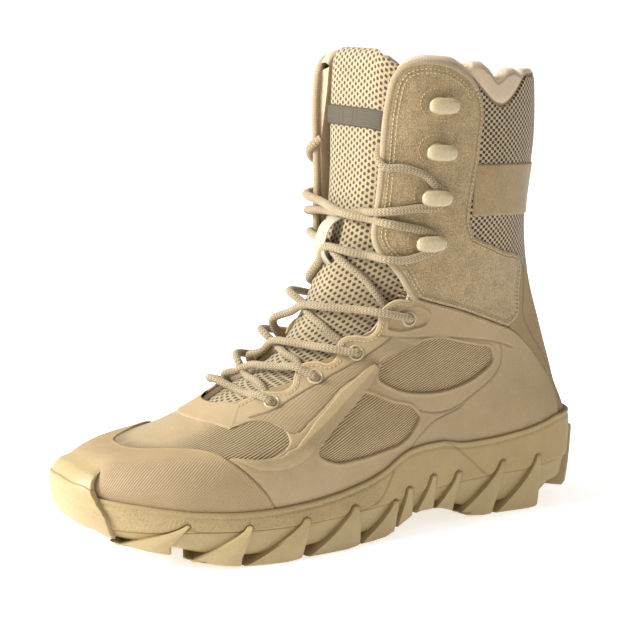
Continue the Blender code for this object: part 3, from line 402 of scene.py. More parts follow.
def joined(parts):
    # Several (points, faces, directions, uv) as one.
    points, faces, look, uv = zip(*parts)
    first = np.cumsum([0] + [len(p) for p in points[:-1]])
    return (np.concatenate(points), np.concatenate([f + k for f, k in zip(faces, first)]), np.concatenate(look),
            np.concatenate(uv))


def joinedPiece(parts, cover):
    points, faces, look, uv = joined(parts)
    return points, faces, cover, look, uv


def stitches(line, height, pitch=2.3, length=1.7, radius=0.32):
    # Row of small capsules on a (turn, level) line: each an ellipsoid of 6 x 4 points, placed by its own
    # axes along the line, across it and outwards.
    base = surface(*line.T)
    run = runOf(base)
    at = np.arange(pitch / 2, run[-1], pitch)
    turn, level = np.interp(at, run, line[:, 0]), np.interp(at, run, line[:, 1])
    centre, out = lifted(turn, level, height)[:, None], outward(turn, level)
    ahead = np.stack([np.interp(at + 0.5, run, k) - np.interp(at - 0.5, run, k) for k in base.T], -1)
    ahead = unit(ahead - out * (ahead * out).sum(-1, keepdims=True))
    w = np.linspace(0, 2 * np.pi, 6, endpoint=False)
    thick = np.array((0.25, 1.0, 1.0, 0.25)) * radius
    local = np.stack([np.repeat(((-1.0,), (-0.75,), (0.75,), (1.0,)), 6, 1) * length / 2,
                      np.outer(thick, np.cos(w)), np.outer(thick, np.sin(w))], -1).reshape(-1, 3)
    look = np.einsum('pk,nkc->npc', local, np.stack([ahead, np.cross(out, ahead), out], 1))
    faces = (gridFaces(4, 6, True)[None] + 24 * np.arange(len(at))[:, None, None]).reshape(-1, 4)
    return (centre + look).reshape(-1, 3), faces, look.reshape(-1, 3), np.zeros((len(at) * 24, 2))


# Finishes: every one is a node graph on the piece's own coordinates in mm.
toneLook = {'share': 0.535, 'warm': (1.0, 0.962, 0.915)}
graph = {}      # holds the node tree of the finish that is being made


def tint(colour):
    # Linear colour from display values of 0 to 255 under full light, times a share and a warm cast.
    c = np.array(colour) / 255
    linear = np.where(c <= 0.04045, c / 12.92, ((c + 0.055) / 1.055) ** 2.4)
    return (*(linear * toneLook['share'] * toneLook['warm']), 1)


def put(socket, value):
    if isinstance(value, bpy.types.NodeSocket):
        graph['tree'].links.new(value, socket)
    else:
        socket.default_value = value


def node(kind, inputs, out=0, **settings):
    made = graph['tree'].nodes.new('ShaderNode' + kind)
    for key, value in settings.items():
        setattr(made, key, value)
    for key, value in inputs.items():
        put(made.inputs[key], value)
    return made.outputs[out]


def sums(operation, *values):
    return node('Math', dict(enumerate(values)), operation=operation)


def times(a, b):
    return sums('MULTIPLY', a, b)


def step(value, low, high, start=0.0, end=1.0):
    return node('MapRange', {0: value, 1: low, 2: high, 3: start, 4: end}, interpolation_type='SMOOTHSTEP')


def mixed(share, a, b, kind='MIX'):
    return node('Mix', {0: share, 6: a, 7: b}, 2, data_type='RGBA', blend_type=kind)


def marked(key):
    return node('Attribute', {}, 2, attribute_name=key)


def cloud(where, size, detail=2.0, rough=0.6):
    # Noise whose lumps are about this size in mm.
    return node('TexNoise', {'Vector': where, 'Scale': 1 / size, 'Detail': detail, 'Roughness': rough})


def ripple(value, pitch):
    return sums('COSINE', times(value, 2 * np.pi / pitch))


def wave(value, pitch):
    # 0.5 + 0.5 cos(2 pi value / pitch)
    return sums('MULTIPLY_ADD', ripple(value, pitch), 0.5, 0.5)


def apart(where):
    parts = graph['tree'].nodes.new('ShaderNodeSeparateXYZ')
    put(parts.inputs[0], where)
    return parts.outputs[0], parts.outputs[1]


def turned(where, angle):
    # Coordinates along and across a direction: u cos + v sin and v cos - u sin.
    c, s = np.cos(np.radians(angle)), np.sin(np.radians(angle))
    u, v = apart(where)
    return sums('ADD', times(u, c), times(v, s)), sums('SUBTRACT', times(v, c), times(u, s))


def ribPattern(where, p):
    # Ribs across one direction, each broken into short dashes along the other.
    along, across = turned(where, p['angle'])
    rib = wave(across, p['pitch'])
    height = sums('SUBTRACT', rib, times(wave(along, p['pitch'] * 0.8), 0.18))
    return height, step(rib, 0.46, 0.06)


def gridPattern(where, p):
    # Small raised squares: the product of two waves.
    along, across = turned(where, p['angle'])
    height = sums('POWER', times(wave(along, p['pitch']), wave(across, p['pitch'])), 0.5)
    return height, step(height, 0.55, 0.15)


def netPattern(where, p):
    # Net with holes in staggered rows: holes where cos a * cos b + round * cos 2a is high, darkened as painted shade;
    # yarns shine between.
    along, across = turned(where, p['angle'])
    lattice = times(ripple(along, p['pitch']), ripple(across, p['pitch'] * p['stretch']))
    lattice = sums('MULTIPLY_ADD', ripple(along, p['pitch'] / 2), p['round'], lattice)
    hole = step(lattice, p['hole'] - 0.16, p['hole'] + 0.22)
    yarn = wave(sums('ADD', along, times(across, 0.6)), p['pitch'] / 4)
    return sums('SUBTRACT', times(yarn, 0.14), hole), hole


def braidPattern(where, p):
    # Braid on a tube: strands run slantwise in columns round it, each column leaning the other way.
    length, turn = apart(where)
    zigzag = sums('PINGPONG', times(turn, float(p['columns'])), 0.5)
    strand = wave(sums('ADD', sums('DIVIDE', length, p['pitch']), times(zigzag, 1.5)), 1.0)
    seam = step(sums('ABSOLUTE', sums('SUBTRACT', zigzag, 0.25)), 0.17, 0.25)
    height = sums('SUBTRACT', times(strand, 0.6), times(seam, 0.7))
    return height, sums('MAXIMUM', times(seam, 0.8), step(strand, 0.45, 0.0))


def pitsPattern(where, p):
    # Fine random pits: noise of one lump size, cut to its low parts.
    value = cloud(where, p['pitch'], 1.0, 0.5)
    return value, step(value, 0.5, 0.3)


# Every pattern gives a height and a mask of its grooves or holes, which the finish darkens as painted shade.
patterns = {'pits': pitsPattern, 'ribs': ribPattern, 'grid': gridPattern, 'net': netPattern, 'braid': braidPattern}


def layer(kind, angle, pitch, height, depth, **more):
    # height in mm; depth is how dark the painted shade in its grooves is, 0 to 1
    return {'kind': kind, 'angle': angle, 'pitch': pitch, 'height': height, 'depth': depth, **more}


def finish(name, colour, roughness, shadeAndDirtColour=None, blotch=(14, 0.05), fleck=(0.9, 0.10), grain=(0.5, 0.04),
           layers=(), sheen=0.0, coat=0.0, specular=0.35, borderShadeAndDirt=0.25, grooveShadeStrength=0):
    # Base colour with cloudy blotches and fine flecks, then patterned layers whose grooves and holes get painted shade,
    # painted shade and dirt along borders, painted shade along grooves, gaps and creases, and a bump of grain and
    # patterns. Blotch, fleck and grain are (size in mm, strength).
    material = bpy.data.materials.new(name)
    material.use_nodes = True
    graph['tree'] = material.node_tree
    shader = material.node_tree.nodes['Principled BSDF']
    where = node('VectorMath', {0: node('TexCoord', {}, 3), 'Scale': 1000.0}, operation='SCALE')
    size = node('UVMap', {}, uv_map='size')
    plain = tint(colour)[:3]
    shade = lambda share: tuple(min(1, k * (1 + share)) for k in plain) + (1,)
    shadeAndDirtColour = tint(shadeAndDirtColour) if shadeAndDirtColour else shade(-0.7)
    paint = mixed(step(cloud(where, blotch[0], 3.0), 0.32, 0.68), shade(-blotch[1]), shade(blotch[1] * 0.6))
    speck = cloud(where, fleck[0], 2.0, 0.7)
    factor = step(speck, 0.3, 0.7, 1 - fleck[1] * 1.3, 1 + fleck[1] * 0.7)
    paint = mixed(1.0, paint, node('CombineColor', {0: factor, 1: factor, 2: factor}), 'MULTIPLY')
    height = times(cloud(where, grain[0]), grain[1] * 2)
    for p in layers:
        raised, deep = patterns[p['kind']](where if p.get('solid') else size, p)
        if p.get('mask'):
            mask = marked(p['mask'])
            raised, deep = times(raised, mask), times(deep, mask)
        # painted shade in the pattern's grooves, holes and pits
        paint = mixed(times(deep, p['depth']), paint, shadeAndDirtColour)
        height = sums('ADD', height, times(raised, p['height']))
    # painted shade and dirt within 1.1 mm of the piece's border, where it meets or tucks under other pieces
    if borderShadeAndDirt:
        paint = mixed(step(marked('edge'), 1.1, 0.0, 0.0, borderShadeAndDirt), paint, shadeAndDirtColour)
    # painted shade along the grooves, creases, gaps round the claws and steps that the piece marks
    if grooveShadeStrength:
        paint = mixed(times(marked('seam'), grooveShadeStrength), paint, shadeAndDirtColour)
    put(shader.inputs['Base Color'], paint)
    put(shader.inputs['Normal'], node('Bump', {'Height': height, 'Distance': mm, 'Strength': 1.0}))
    put(shader.inputs['Roughness'], step(speck, 0.3, 0.7, roughness - 0.06, roughness + 0.06))
    for key, value in (('Specular IOR Level', specular), ('Sheen Weight', sheen), ('Coat Weight', coat),
                       ('Coat Roughness', 0.25)):
        shader.inputs[key].default_value = value
    return material


# colour of the painted shade in the sole's pits, grooves and gaps round the claws
rubberShadeColour = (86, 62, 30)
finishes = {
    'moulded': finish('moulded', (213, 186, 142), 0.58, grain=(0.45, 0.025), fleck=(1.2, 0.05), grooveShadeStrength=0.5,
        borderShadeAndDirt=0.15, layers=[layer('grid', 32, 1.1, 0.14, 0.48, mask='strip'),
                           layer('grid', 12, 1.1, 0.04, 0.10, mask='plain')]),
    'toeCap': finish('toe cap', (211, 182, 136), 0.6, grain=(0.45, 0.02), fleck=(1.0, 0.05), grooveShadeStrength=0.6, borderShadeAndDirt=0.12,
        layers=[layer('ribs', -26, 1.25, 0.20, 0.46, mask='ribbed'),
                layer('grid', -26, 1.15, 0.13, 0.36, mask='woven')]),
    'windowFabric': finish('ribbed cloth', (234, 204, 154), 0.8, shadeAndDirtColour=(96, 72, 38), fleck=(0.8, 0.12), sheen=0.15,
        layers=[layer('ribs', 24, 1.22, 0.28, 0.95)]),
    'vampFabric': finish('vamp cloth', (206, 180, 134), 0.78, shadeAndDirtColour=(92, 70, 38), fleck=(0.8, 0.08), sheen=0.12,
        layers=[layer('ribs', -5, 1.43, 0.28, 0.95, mask='ribbed')]),
    'suede': finish('suede', (212, 186, 142), 0.95, shadeAndDirtColour=(92, 72, 40), blotch=(7, 0.13), fleck=(0.75, 0.30),
        grain=(0.7, 0.11), sheen=0.35, specular=0.15, grooveShadeStrength=0.8, borderShadeAndDirt=0.35),
    'strap': finish('strap suede', (198, 171, 126), 0.95, blotch=(9, 0.08), fleck=(0.8, 0.16), grain=(0.6, 0.09),
        sheen=0.3, specular=0.15, borderShadeAndDirt=0.35),
    'net': finish('shaft net', (230, 204, 160), 0.85, shadeAndDirtColour=(44, 30, 14), sheen=0.2, blotch=(10, 0.06),
        layers=[layer('net', 0, 3.4, 0.5, 0.95, stretch=0.95, hole=0.02, round=0.0)]),
    'tongueNet': finish('tongue net', (216, 193, 150), 0.85, shadeAndDirtColour=(70, 50, 26), sheen=0.2, blotch=(10, 0.06),
        grooveShadeStrength=0.5, layers=[layer('net', 0, 5.8, 0.8, 0.9, stretch=0.60, hole=0.18, round=0.40)]),
    'backCloth': finish('back cloth', (198, 170, 124), 0.75, fleck=(0.9, 0.08), grooveShadeStrength=0.8,
        layers=[layer('grid', 30, 1.2, 0.07, 0.18)]),
    'lining': finish('lining', (252, 226, 190), 0.9, shadeAndDirtColour=(150, 114, 86), sheen=0.3, fleck=(0.8, 0.08),
        layers=[layer('ribs', 62, 1.3, 0.06, 0.12)]),
    'binding': finish('binding', (226, 201, 160), 0.9, shadeAndDirtColour=(140, 108, 72), sheen=0.3, borderShadeAndDirt=0,
        layers=[layer('braid', 0, 1.6, 0.14, 0.35, columns=8)]),
    'foam': finish('foam', (212, 186, 134), 0.62, shadeAndDirtColour=rubberShadeColour, grain=(0.9, 0.03), fleck=(1.1, 0.05), grooveShadeStrength=0.9,
        borderShadeAndDirt=0, layers=[layer('pits', 0, 1.0, 0.30, 0.26, mask='stipple', solid=True)]),
    'rubber': finish('rubber', (216, 191, 138), 0.5, shadeAndDirtColour=rubberShadeColour, grain=(1.4, 0.02), fleck=(1.6, 0.04),
        grooveShadeStrength=0.9, borderShadeAndDirt=0, specular=0.4),
    'lace': finish('lace', (250, 224, 174), 0.75, shadeAndDirtColour=(120, 92, 52), sheen=0.25, borderShadeAndDirt=0, blotch=(9, 0.07),
        layers=[layer('braid', 0, 1.8, 0.34, 0.95, columns=9)]),
    'webbing': finish('cream webbing', (240, 229, 203), 0.85, shadeAndDirtColour=(150, 132, 100), borderShadeAndDirt=0,
        layers=[layer('ribs', 90, 1.25, 0.18, 0.35)]),
    'label': finish('label', (114, 102, 80), 0.7, shadeAndDirtColour=(50, 46, 38), borderShadeAndDirt=0.3,
        layers=[layer('grid', 0, 1.0, 0.1, 0.4)]),
    'hardware': finish('painted metal', (228, 206, 162), 0.26, grain=(3.0, 0.0), fleck=(2.0, 0.01),
        blotch=(20, 0.02), borderShadeAndDirt=0, coat=0.5, specular=0.5),
    # dark discs in the eyelets: painted shade inside the holes
    'hole': finish('hole', (44, 32, 20), 0.9, borderShadeAndDirt=0),
    'thread': finish('thread', (236, 212, 166), 0.7, grain=(0.25, 0.05), borderShadeAndDirt=0),
    'insole': finish('insole', (196, 170, 132), 0.9, fleck=(1.2, 0.12), grain=(1.0, 0.08), borderShadeAndDirt=0),
}
print('finishes made')


# The collar's line, the sole's tables and the sole's wall.
fineTurns, topTurns, lowLevels = np.linspace(0, 1, 1001), np.linspace(0, 0.8, 801), np.linspace(0, 0.5, 301)
fineSole = [softened(sole[:, 0], sole[:, k], fineTurns, 27) for k in range(1, 5)]
fineTop = softened(topLine[:, 0], topLine[:, 1], topTurns, 61)
fineRim = np.array([np.interp(goal, row, lowLevels) for goal, row in
                    zip(fineSole[0], surface(fineTurns[:, None], lowLevels[None])[..., 2])])


def topAt(turn):
    return np.interp(np.abs(turn), topTurns, fineTop)


def soleValue(turn, k):
    # k: 0 rim, 1 split between foam and rubber, 2 ground line, 3 lug depth
    return np.interp(around(turn), fineTurns, fineSole[k])


def rimLevel(turn):
    return np.interp(around(turn), fineTurns, fineRim)


def rimSide(turn):
    return unit(outward(turn, rimLevel(turn)) * (1, 1, 0))


def soleWall(turn, z, out):
    # Ruled from the tread's outline up to the lip around the upper: foot + (lip - foot) * rise, with a bulge of
    # 4 * rise * (1 - rise), moved sideways by out.
    turn, z, out = np.broadcast_arrays(*(np.asarray(k, float) for k in (turn, z, out)))
    turn = wrapped(turn)
    sideways = rimSide(turn)
    top = surface(turn, rimLevel(turn)) + sideways * solePlan['lip']
    share = (1 - np.cos(np.pi * turn)) / 2
    footX = widths[0, 9] * share ** 3 + sideX(turn, share, solePlan['outer'], solePlan['inner'], solePlan['square'])
    footY = solePlan['back'] + (solePlan['front'] - solePlan['back']) * share
    ground = soleValue(turn, 2)
    rise = (z - ground) / (soleValue(turn, 0) - ground)
    bulge = solePlan['bulge'] * 4 * np.clip(rise, 0, 1) * np.clip(1 - rise, 0, 1) + out
    x, y = footX + (top[..., 0] - footX) * rise, footY + (top[..., 1] - footY) * rise
    return np.stack([x, y, z], -1) + sideways * bulge[..., None]


# Lines that the upper's panels share, as side-view places (y, z) or as (turn, level).
capEdge = ((0.616, 0.02), (0.63, 0.083), (0.642, 0.126), (0.66, 0.164), (0.686, 0.204), (0.708, 0.231), (0.735, 0.26),
    (0.78, 0.29), (0.825, 0.301), (0.87, 0.303), (0.91, 0.299), (0.955, 0.296), (1.0, 0.296))
windowFoot = ((0.706, 0.239), (0.679, 0.229), (0.656, 0.227), (0.641, 0.238), (0.638, 0.262), (0.648, 0.299),
    (0.678, 0.345), (0.713, 0.374), (0.735, 0.386), (0.765, 0.394), (0.785, 0.389))
scallops = ((0.866, 0.436), (0.85, 0.455), (0.834, 0.468), (0.801, 0.467), (0.779, 0.47), (0.777, 0.483),
    (0.794, 0.502), (0.808, 0.517), (0.808, 0.528), (0.779, 0.533), (0.744, 0.528), (0.736, 0.538), (0.747, 0.556),
    (0.757, 0.569), (0.751, 0.578), (0.726, 0.581), (0.692, 0.579), (0.68, 0.588), (0.682, 0.606), (0.688, 0.619),
    (0.679, 0.628), (0.658, 0.638), (0.615, 0.638))
crest = ((-92, 131), (-84, 128.5), (-79, 126.2), (-68, 122.6), (-57, 119.2), (-38, 112.2), (-17, 104))
heelCurve = ((-17, 104), (-10, 99.6), (-4, 94.5), (3, 87.2), (9, 79), (14, 71.5), (17, 64), (18, 56), (17.5, 48))
frontWindow = ((0.619, 0.432), (0.606, 0.445), (0.581, 0.433), (0.53, 0.397), (0.466, 0.345), (0.447, 0.311),
    (0.443, 0.239), (0.454, 0.2), (0.478, 0.187), (0.52, 0.178), (0.555, 0.186), (0.58, 0.223), (0.588, 0.269),
    (0.592, 0.298), (0.61, 0.377))
rearWindow = ((0.618, 0.516), (0.586, 0.544), (0.543, 0.562), (0.5, 0.56), (0.451, 0.544), (0.39, 0.523),
    (0.353, 0.508), (0.339, 0.48), (0.364, 0.432), (0.401, 0.408), (0.48, 0.414), (0.561, 0.457), (0.604, 0.489))
eyestayLine = ((0.79, 0.405), (0.763, 0.421), (0.745, 0.456), (0.715, 0.501), (0.678, 0.538), (0.636, 0.577))
stripFoot = ((0.742, 0.388), (0.712, 0.377), (0.684, 0.354), (0.664, 0.34), (0.661, 0.382), (0.664, 0.435),
    (0.665, 0.474), (0.648, 0.5), (0.619, 0.529), (0.575, 0.556))
crestLine = ((-103, 108.4), (-95, 106.8), (-84, 105.8), (-70.5, 104.9), (-55, 103), (-40, 100.2), (-26, 97),
    (-14, 92.6))
heelRim = ((-23.5, 96.4), (-21.8, 91), (-23, 84), (-28, 78), (-34, 74), (-41, 70.4), (-51, 65.6), (-61, 63),
    (-71, 63.4), (-80, 66))
archLine = ((-46.4, 68.0), (-51, 64.2), (-61.5, 61), (-70.4, 58.4), (-77.6, 53.8), (-83.7, 48.4), (-87.9, 43))
teardrop = ((0.655, 0.594), (0.657, 0.607), (0.645, 0.618), (0.625, 0.626), (0.589, 0.628), (0.557, 0.614),
    (0.557, 0.599), (0.589, 0.589), (0.627, 0.587))
flapEdge = ((0.6, 0.64), (0.622, 0.655), (0.66, 0.68), (0.703, 0.698), (0.745, 0.714), (0.765, 0.727), (0.774, 0.75),
    (0.778, 0.785), (0.781, 0.85), (0.778, 0.9), (0.77, 0.937))
topArc = ((0.77, 0.937), (0.756, 0.964), (0.73, 0.981), (0.69, 0.99), (0.64, 0.993), (0.59, 0.99), (0.55, 0.982),
    (0.52, 0.971), (0.498, 0.957))
suedeRear = ((-54, 243), (-49, 234), (-46.6, 224), (-47.6, 212), (-48.6, 199.7), (-50.4, 188), (-51.6, 178),
    (-51.4, 167), (-48, 158.4))
suedeCorner = ((-48, 158.4), (-26, 149), (-8, 140.4), (-7.2, 138), (-8.4, 122), (-8.8, 111), (-10.4, 108.4),
    (-17, 104.4))
sides = (('lateral', 1), ('medial', -1))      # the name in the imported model, and the sign of the turn


def places(line):
    flat = np.array(line, float)
    return placeAt(*flat.T) if flat.min() < 0 or flat.max() > 2 else flat


def openLine(line, closed=False, step=0.5):
    return smoothLine(places(line), closed, step)


def closedLine(line, step=0.5):
    return openLine(line, True, step)


def rimLine(start, end, drop=0.022):
    turn = np.linspace(start, end, 240)
    return np.stack([turn, np.maximum(rimLevel(turn) - drop, 0.001)], -1)


def both(line, centre=1):
    # An open line from the outer side to the front or back centre, carried on by its mirror image.
    return np.concatenate([line, line[::-1] * (-1, 1) + (2 * centre, 0)])


def shifted(line, offset):
    # The line moved across itself on the boot by an offset in mm, to the left of its run.
    turn, level = line.T
    move = unit(np.cross(outward(turn, level), np.gradient(surface(turn, level), axis=0))) * offset
    turnStep, levelStep = besides(turn, level), surface(turn, level + small) - surface(turn, level - small)
    aa, bb, ab = ((p * q).sum(-1) for p, q in ((turnStep, turnStep), (levelStep, levelStep), (turnStep, levelStep)))
    ma, mb = (move * turnStep).sum(-1), (move * levelStep).sum(-1)
    return line + np.stack([ma * bb - mb * ab, mb * aa - ma * ab], -1) / (aa * bb - ab ** 2)[:, None] * 2 * small


def sinkAlong(line, high):
    # Sheets stay high along a line that they share, and dip under the surface elsewhere.
    return lambda base: np.where(distanceTo(base, line, line * (-1, 1)) < 0.9, high, -0.25)


# The upper itself: an outer skin, and a lining that comes over the collar.
upperLook = {'columns': 220, 'rows': 150, 'pad': 3.4, 'padStart': 0.86, 'padEnd': 0.965, 'rise': 2.6, 'over': 0.3}
padLook = {'centre': 0.41, 'spread': 0.125, 'foot': 0.88, 'half': 2.6, 'depth': 3.6, 'forward': 1.9,
           'heart': ((0.28, 0.974), (0.32, 0.984), (0.35, 0.988), (0.38, 0.984), (0.41, 0.973), (0.425, 0.972),
                     (0.45, 0.984), (0.48, 0.993), (0.51, 0.992), (0.54, 0.976))}


def makeUpper():
    # s runs across from edge to edge; turn = s * throat edge; the top rows sink to the top line.
    p = upperLook
    s, level = np.meshgrid(np.linspace(-1, 1, p['columns']), np.linspace(0, 1, p['rows']))
    turn = s * np.where(level < 0.43, 1, np.interp(level, *throat.T))
    level = level + np.clip((level - 0.8) / 0.2, 0, 1) * (topAt(turn) - 1)
    points = lifted(turn, level, 0.0)
    makePiece('upperSkin', points, gridFaces(*turn.shape), 'backCloth', outward(turn, level), points[..., 1:],
              slot='upper_fabric', replaced=['upper'])
    # lining: over the lip by half a turn of an ellipse, then down inside, with a rolled pad near the top
    turn, level = turn[::-1], level[::-1]
    depth = wall + p['pad'] * ramp(level / level[:1], p['padStart'], p['padEnd'])
    bend = np.linspace(0, np.pi, 11)[:, None]
    lipTurn, lipLevel = np.repeat(turn[:1], 11, axis=0), np.repeat(level[:1], 11, axis=0)
    normal = outward(lipTurn, lipLevel)
    up = unit(surface(lipTurn, lipLevel) - surface(lipTurn, lipLevel - 0.01))
    half = (depth[:1] + p['over']) / 2
    lip = (surface(lipTurn, lipLevel) + normal * (p['over'] - half + half * np.cos(bend))[..., None]
           + up * (p['rise'] * np.sin(bend))[..., None])
    look = np.concatenate([normal * np.cos(bend)[..., None] + up * np.sin(bend)[..., None],
                           -outward(turn, level)[1:]])
    ends = [np.concatenate([lip[:, c], surface(turn[1:, c], level[1:, c])])[:, None] for c in (0, -1)]
    points = np.concatenate([ends[0], np.concatenate([lip, lifted(turn, level, -depth)[1:]]), ends[1]], axis=1)
    makePiece('upperLining', points, gridFaces(*points.shape[:2]), 'lining',
              np.concatenate([look[:, :1], look, look[:, -1:]], axis=1), points[..., 1:], slot='lining', sharp=50)


def makeCollarPads():
    # Heart-topped lining pads behind the notches of the collar: up the front, over by half a turn of an
    # ellipse and down the back; the thickness goes by sqrt(1 - u^8) across.
    p = padLook
    u = np.linspace(-1, 1, 60)[None]
    bend, rise = np.linspace(0, np.pi, 13)[:, None], np.linspace(0, 1, 22)[:, None]
    flat = 0 * rise
    full = p['half'] * np.sqrt(1 - u ** 8)
    turn = p['centre'] + p['spread'] * u
    top = np.interp(turn, *np.array(p['heart']).T)
    climb = p['foot'] + (top - p['foot']) * rise
    levels = np.concatenate([climb, top + 0 * bend, climb[::-1]])
    heights = np.concatenate([full + flat, full * np.cos(bend), -full + flat])
    over = np.concatenate([flat + 0 * u, full * np.sin(bend), flat + 0 * u])[..., None] * (0, 0, 1.0)
    forward = p['forward'] * ramp(levels - topAt(turn), -0.006, 0.006) * (heights > 0)
    for side, sign in sides:
        turns = sign * (turn + 0 * levels)
        points = lifted(turns, levels, heights + forward - p['depth']) + over
        look = outward(turns, levels) * np.sign(heights + 1e-6)[..., None] + over
        makePiece('collarPad' + side.capitalize(), points, gridFaces(*levels.shape), 'lining', look,
                  points[..., 1:], slot='lining')


makeUpper()
makeCollarPads()
print('upper and lining made')


# Toe cap and vamp.
capLook = {'height': 1.75, 'crestDrop': 0.7, 'lip': 0.3, 'smoothTop': (0.20, 0.29)}
vampLook = {'height': 0.5, 'crown': 0.7, 'outer': ((0.70, 0.17), (0.625, 0.21), (0.622, 0.30), (0.655, 0.365),
                                                   (0.72, 0.41), (0.84, 0.43), (1.0, 0.432)),
            'front': ((1.24, 0.19), (1.1, 0.22), (1.0, 0.24), (0.9, 0.22), (0.76, 0.19))}
arcY = np.linspace(-263, -150, 80)
arcDrop = np.linspace(0, 1, 160)      # square root of the level's share below the crest


def arcTable():
    # The crest's level at each y, and the length across the foot from there down to each share.
    first = int(np.argmin(fineProfile[0]))
    crestLevel = np.interp(arcY, np.maximum.accumulate(fineProfile[0][first:]), fineLevels[first:])
    level = crestLevel[:, None] * (1 - arcDrop ** 2)
    front, back = (np.interp(level, fineLevels, fineProfile[k]) for k in (0, 2))
    share = np.clip((arcY[:, None] - back) / (front - back), 0, 1)
    points = surface(np.arccos(1 - 2 * share) / np.pi, level)
    pieces = np.linalg.norm(np.diff(points, axis=1), axis=-1)
    return crestLevel, np.pad(np.cumsum(pieces, axis=1), ((0, 0), (1, 0)))


crestLevel, arcLength = arcTable()


def acrossFoot(turn, level, base):
    # (y, length down from the crest), the length read between the table's rows and columns.
    row = np.clip((base[..., 1] - arcY[0]) / (arcY[1] - arcY[0]), 0, len(arcY) - 1.001)
    i = row.astype(int)
    a = row - i
    crestHere = crestLevel[i] * (1 - a) + crestLevel[i + 1] * a
    column = np.sqrt(np.clip(1 - level / crestHere, 0, 1)) * (len(arcDrop) - 1.001)
    j = column.astype(int)
    b = column - j
    low, high = (arcLength[k, j] * (1 - b) + arcLength[k, j + 1] * b for k in (i, i + 1))
    return np.stack([base[..., 1], low * (1 - a) + high * a], -1)


def makeToe():
    p = capLook
    edge = openLine(capEdge)
    top = both(edge)
    rim = surface(*rimLine(1.3, 0.7, 0.0).T)

    def patch(turn, level, start, full, fading, end):
        spread = ramp(around(turn), start, full) * (1 - ramp(around(turn), fading, end))
        return spread * (1 - ramp(level, *p['smoothTop']))

    panel('toeCap', np.concatenate([top, rimLine(top[-1, 0], top[0, 0])]), 'toeCap',
          lambda t, v: p['height'] - p['crestDrop'] * ramp(around(t), 0.80, 0.93),
          relief=lambda t, v, b, d: p['lip'] * hump(d - 1.2, 0.7) * ramp(nearest(b, rim)[1], 5, 12), edge=0.7,
          sink=sinkAlong(edge[:120], 1.1), uv=acrossFoot,
          marks={'ribbed': lambda t, v, b, d: patch(t, v, 0.66, 0.74, 0.88, 0.94),
                 'woven': lambda t, v, b, d: patch(t, v, 0.56, 0.60, 0.66, 0.76)},
          slot='moulded', replaced=['toe_cap'])
    # vamp cloth: from under the cap to under the trim, a little crowned
    p = vampLook
    panel('vampCloth', np.concatenate([both(np.array(p['outer'])), p['front']]), 'vampFabric',
          lambda t, v: p['height'] + p['crown'] * ramp(v, 0.28, 0.34) * (1 - ramp(v, 0.36, 0.43)), 0.9,
          uv=acrossFoot, slot='upper_fabric',
          marks={'ribbed': lambda t, v, b, d: np.maximum(1 - ramp(around(t), 0.80, 0.90), 1 - ramp(v, 0.30, 0.33))})


makeToe()


# Cage, its windows and band, on each side.
cageLook = {'height': 1.7, 'strip': -0.35, 'groove': 0.55, 'windowRim': 0.55, 'recess': -0.7, 'dropRim': 0.5,
            'edgeRim': 0.35, 'cloth': 0.55, 'bandRidge': 3.1, 'bandSlope': 0.10, 'bandBevel': 0.26}
cageJoin = ((0.796, 0.373), (0.812, 0.392), (0.832, 0.41), (0.85, 0.425), (0.864, 0.435))      # beside the trim
bandRidge = ((-193, 52.4), (-184, 50.4), (-174, 50), (-164, 52.6), (-156, 56.6), (-147, 61.6), (-137, 67.6),
    (-127, 75), (-118, 82), (-110, 88.4), (-106, 92))
bandOutline = ((-165.6, 55.0), (-160, 56.4), (-153.6, 60.2), (-145, 67.0), (-136, 73.6), (-128, 80.2), (-119, 86.0),
    (-111, 91.2), (-106, 93.2), (-104.6, 90.4), (-107, 86.6), (-114, 79.2), (-121, 73.4), (-130, 66.6), (-138, 60.6),
    (-145, 55.6), (-152, 51.2), (-162, 48.0), (-173.4, 47.0), (-183, 48.2), (-189.6, 51.0), (-194.4, 53.8),
    (-188, 53.5), (-180, 52.9), (-172.6, 53.1), (-167.6, 54.0))


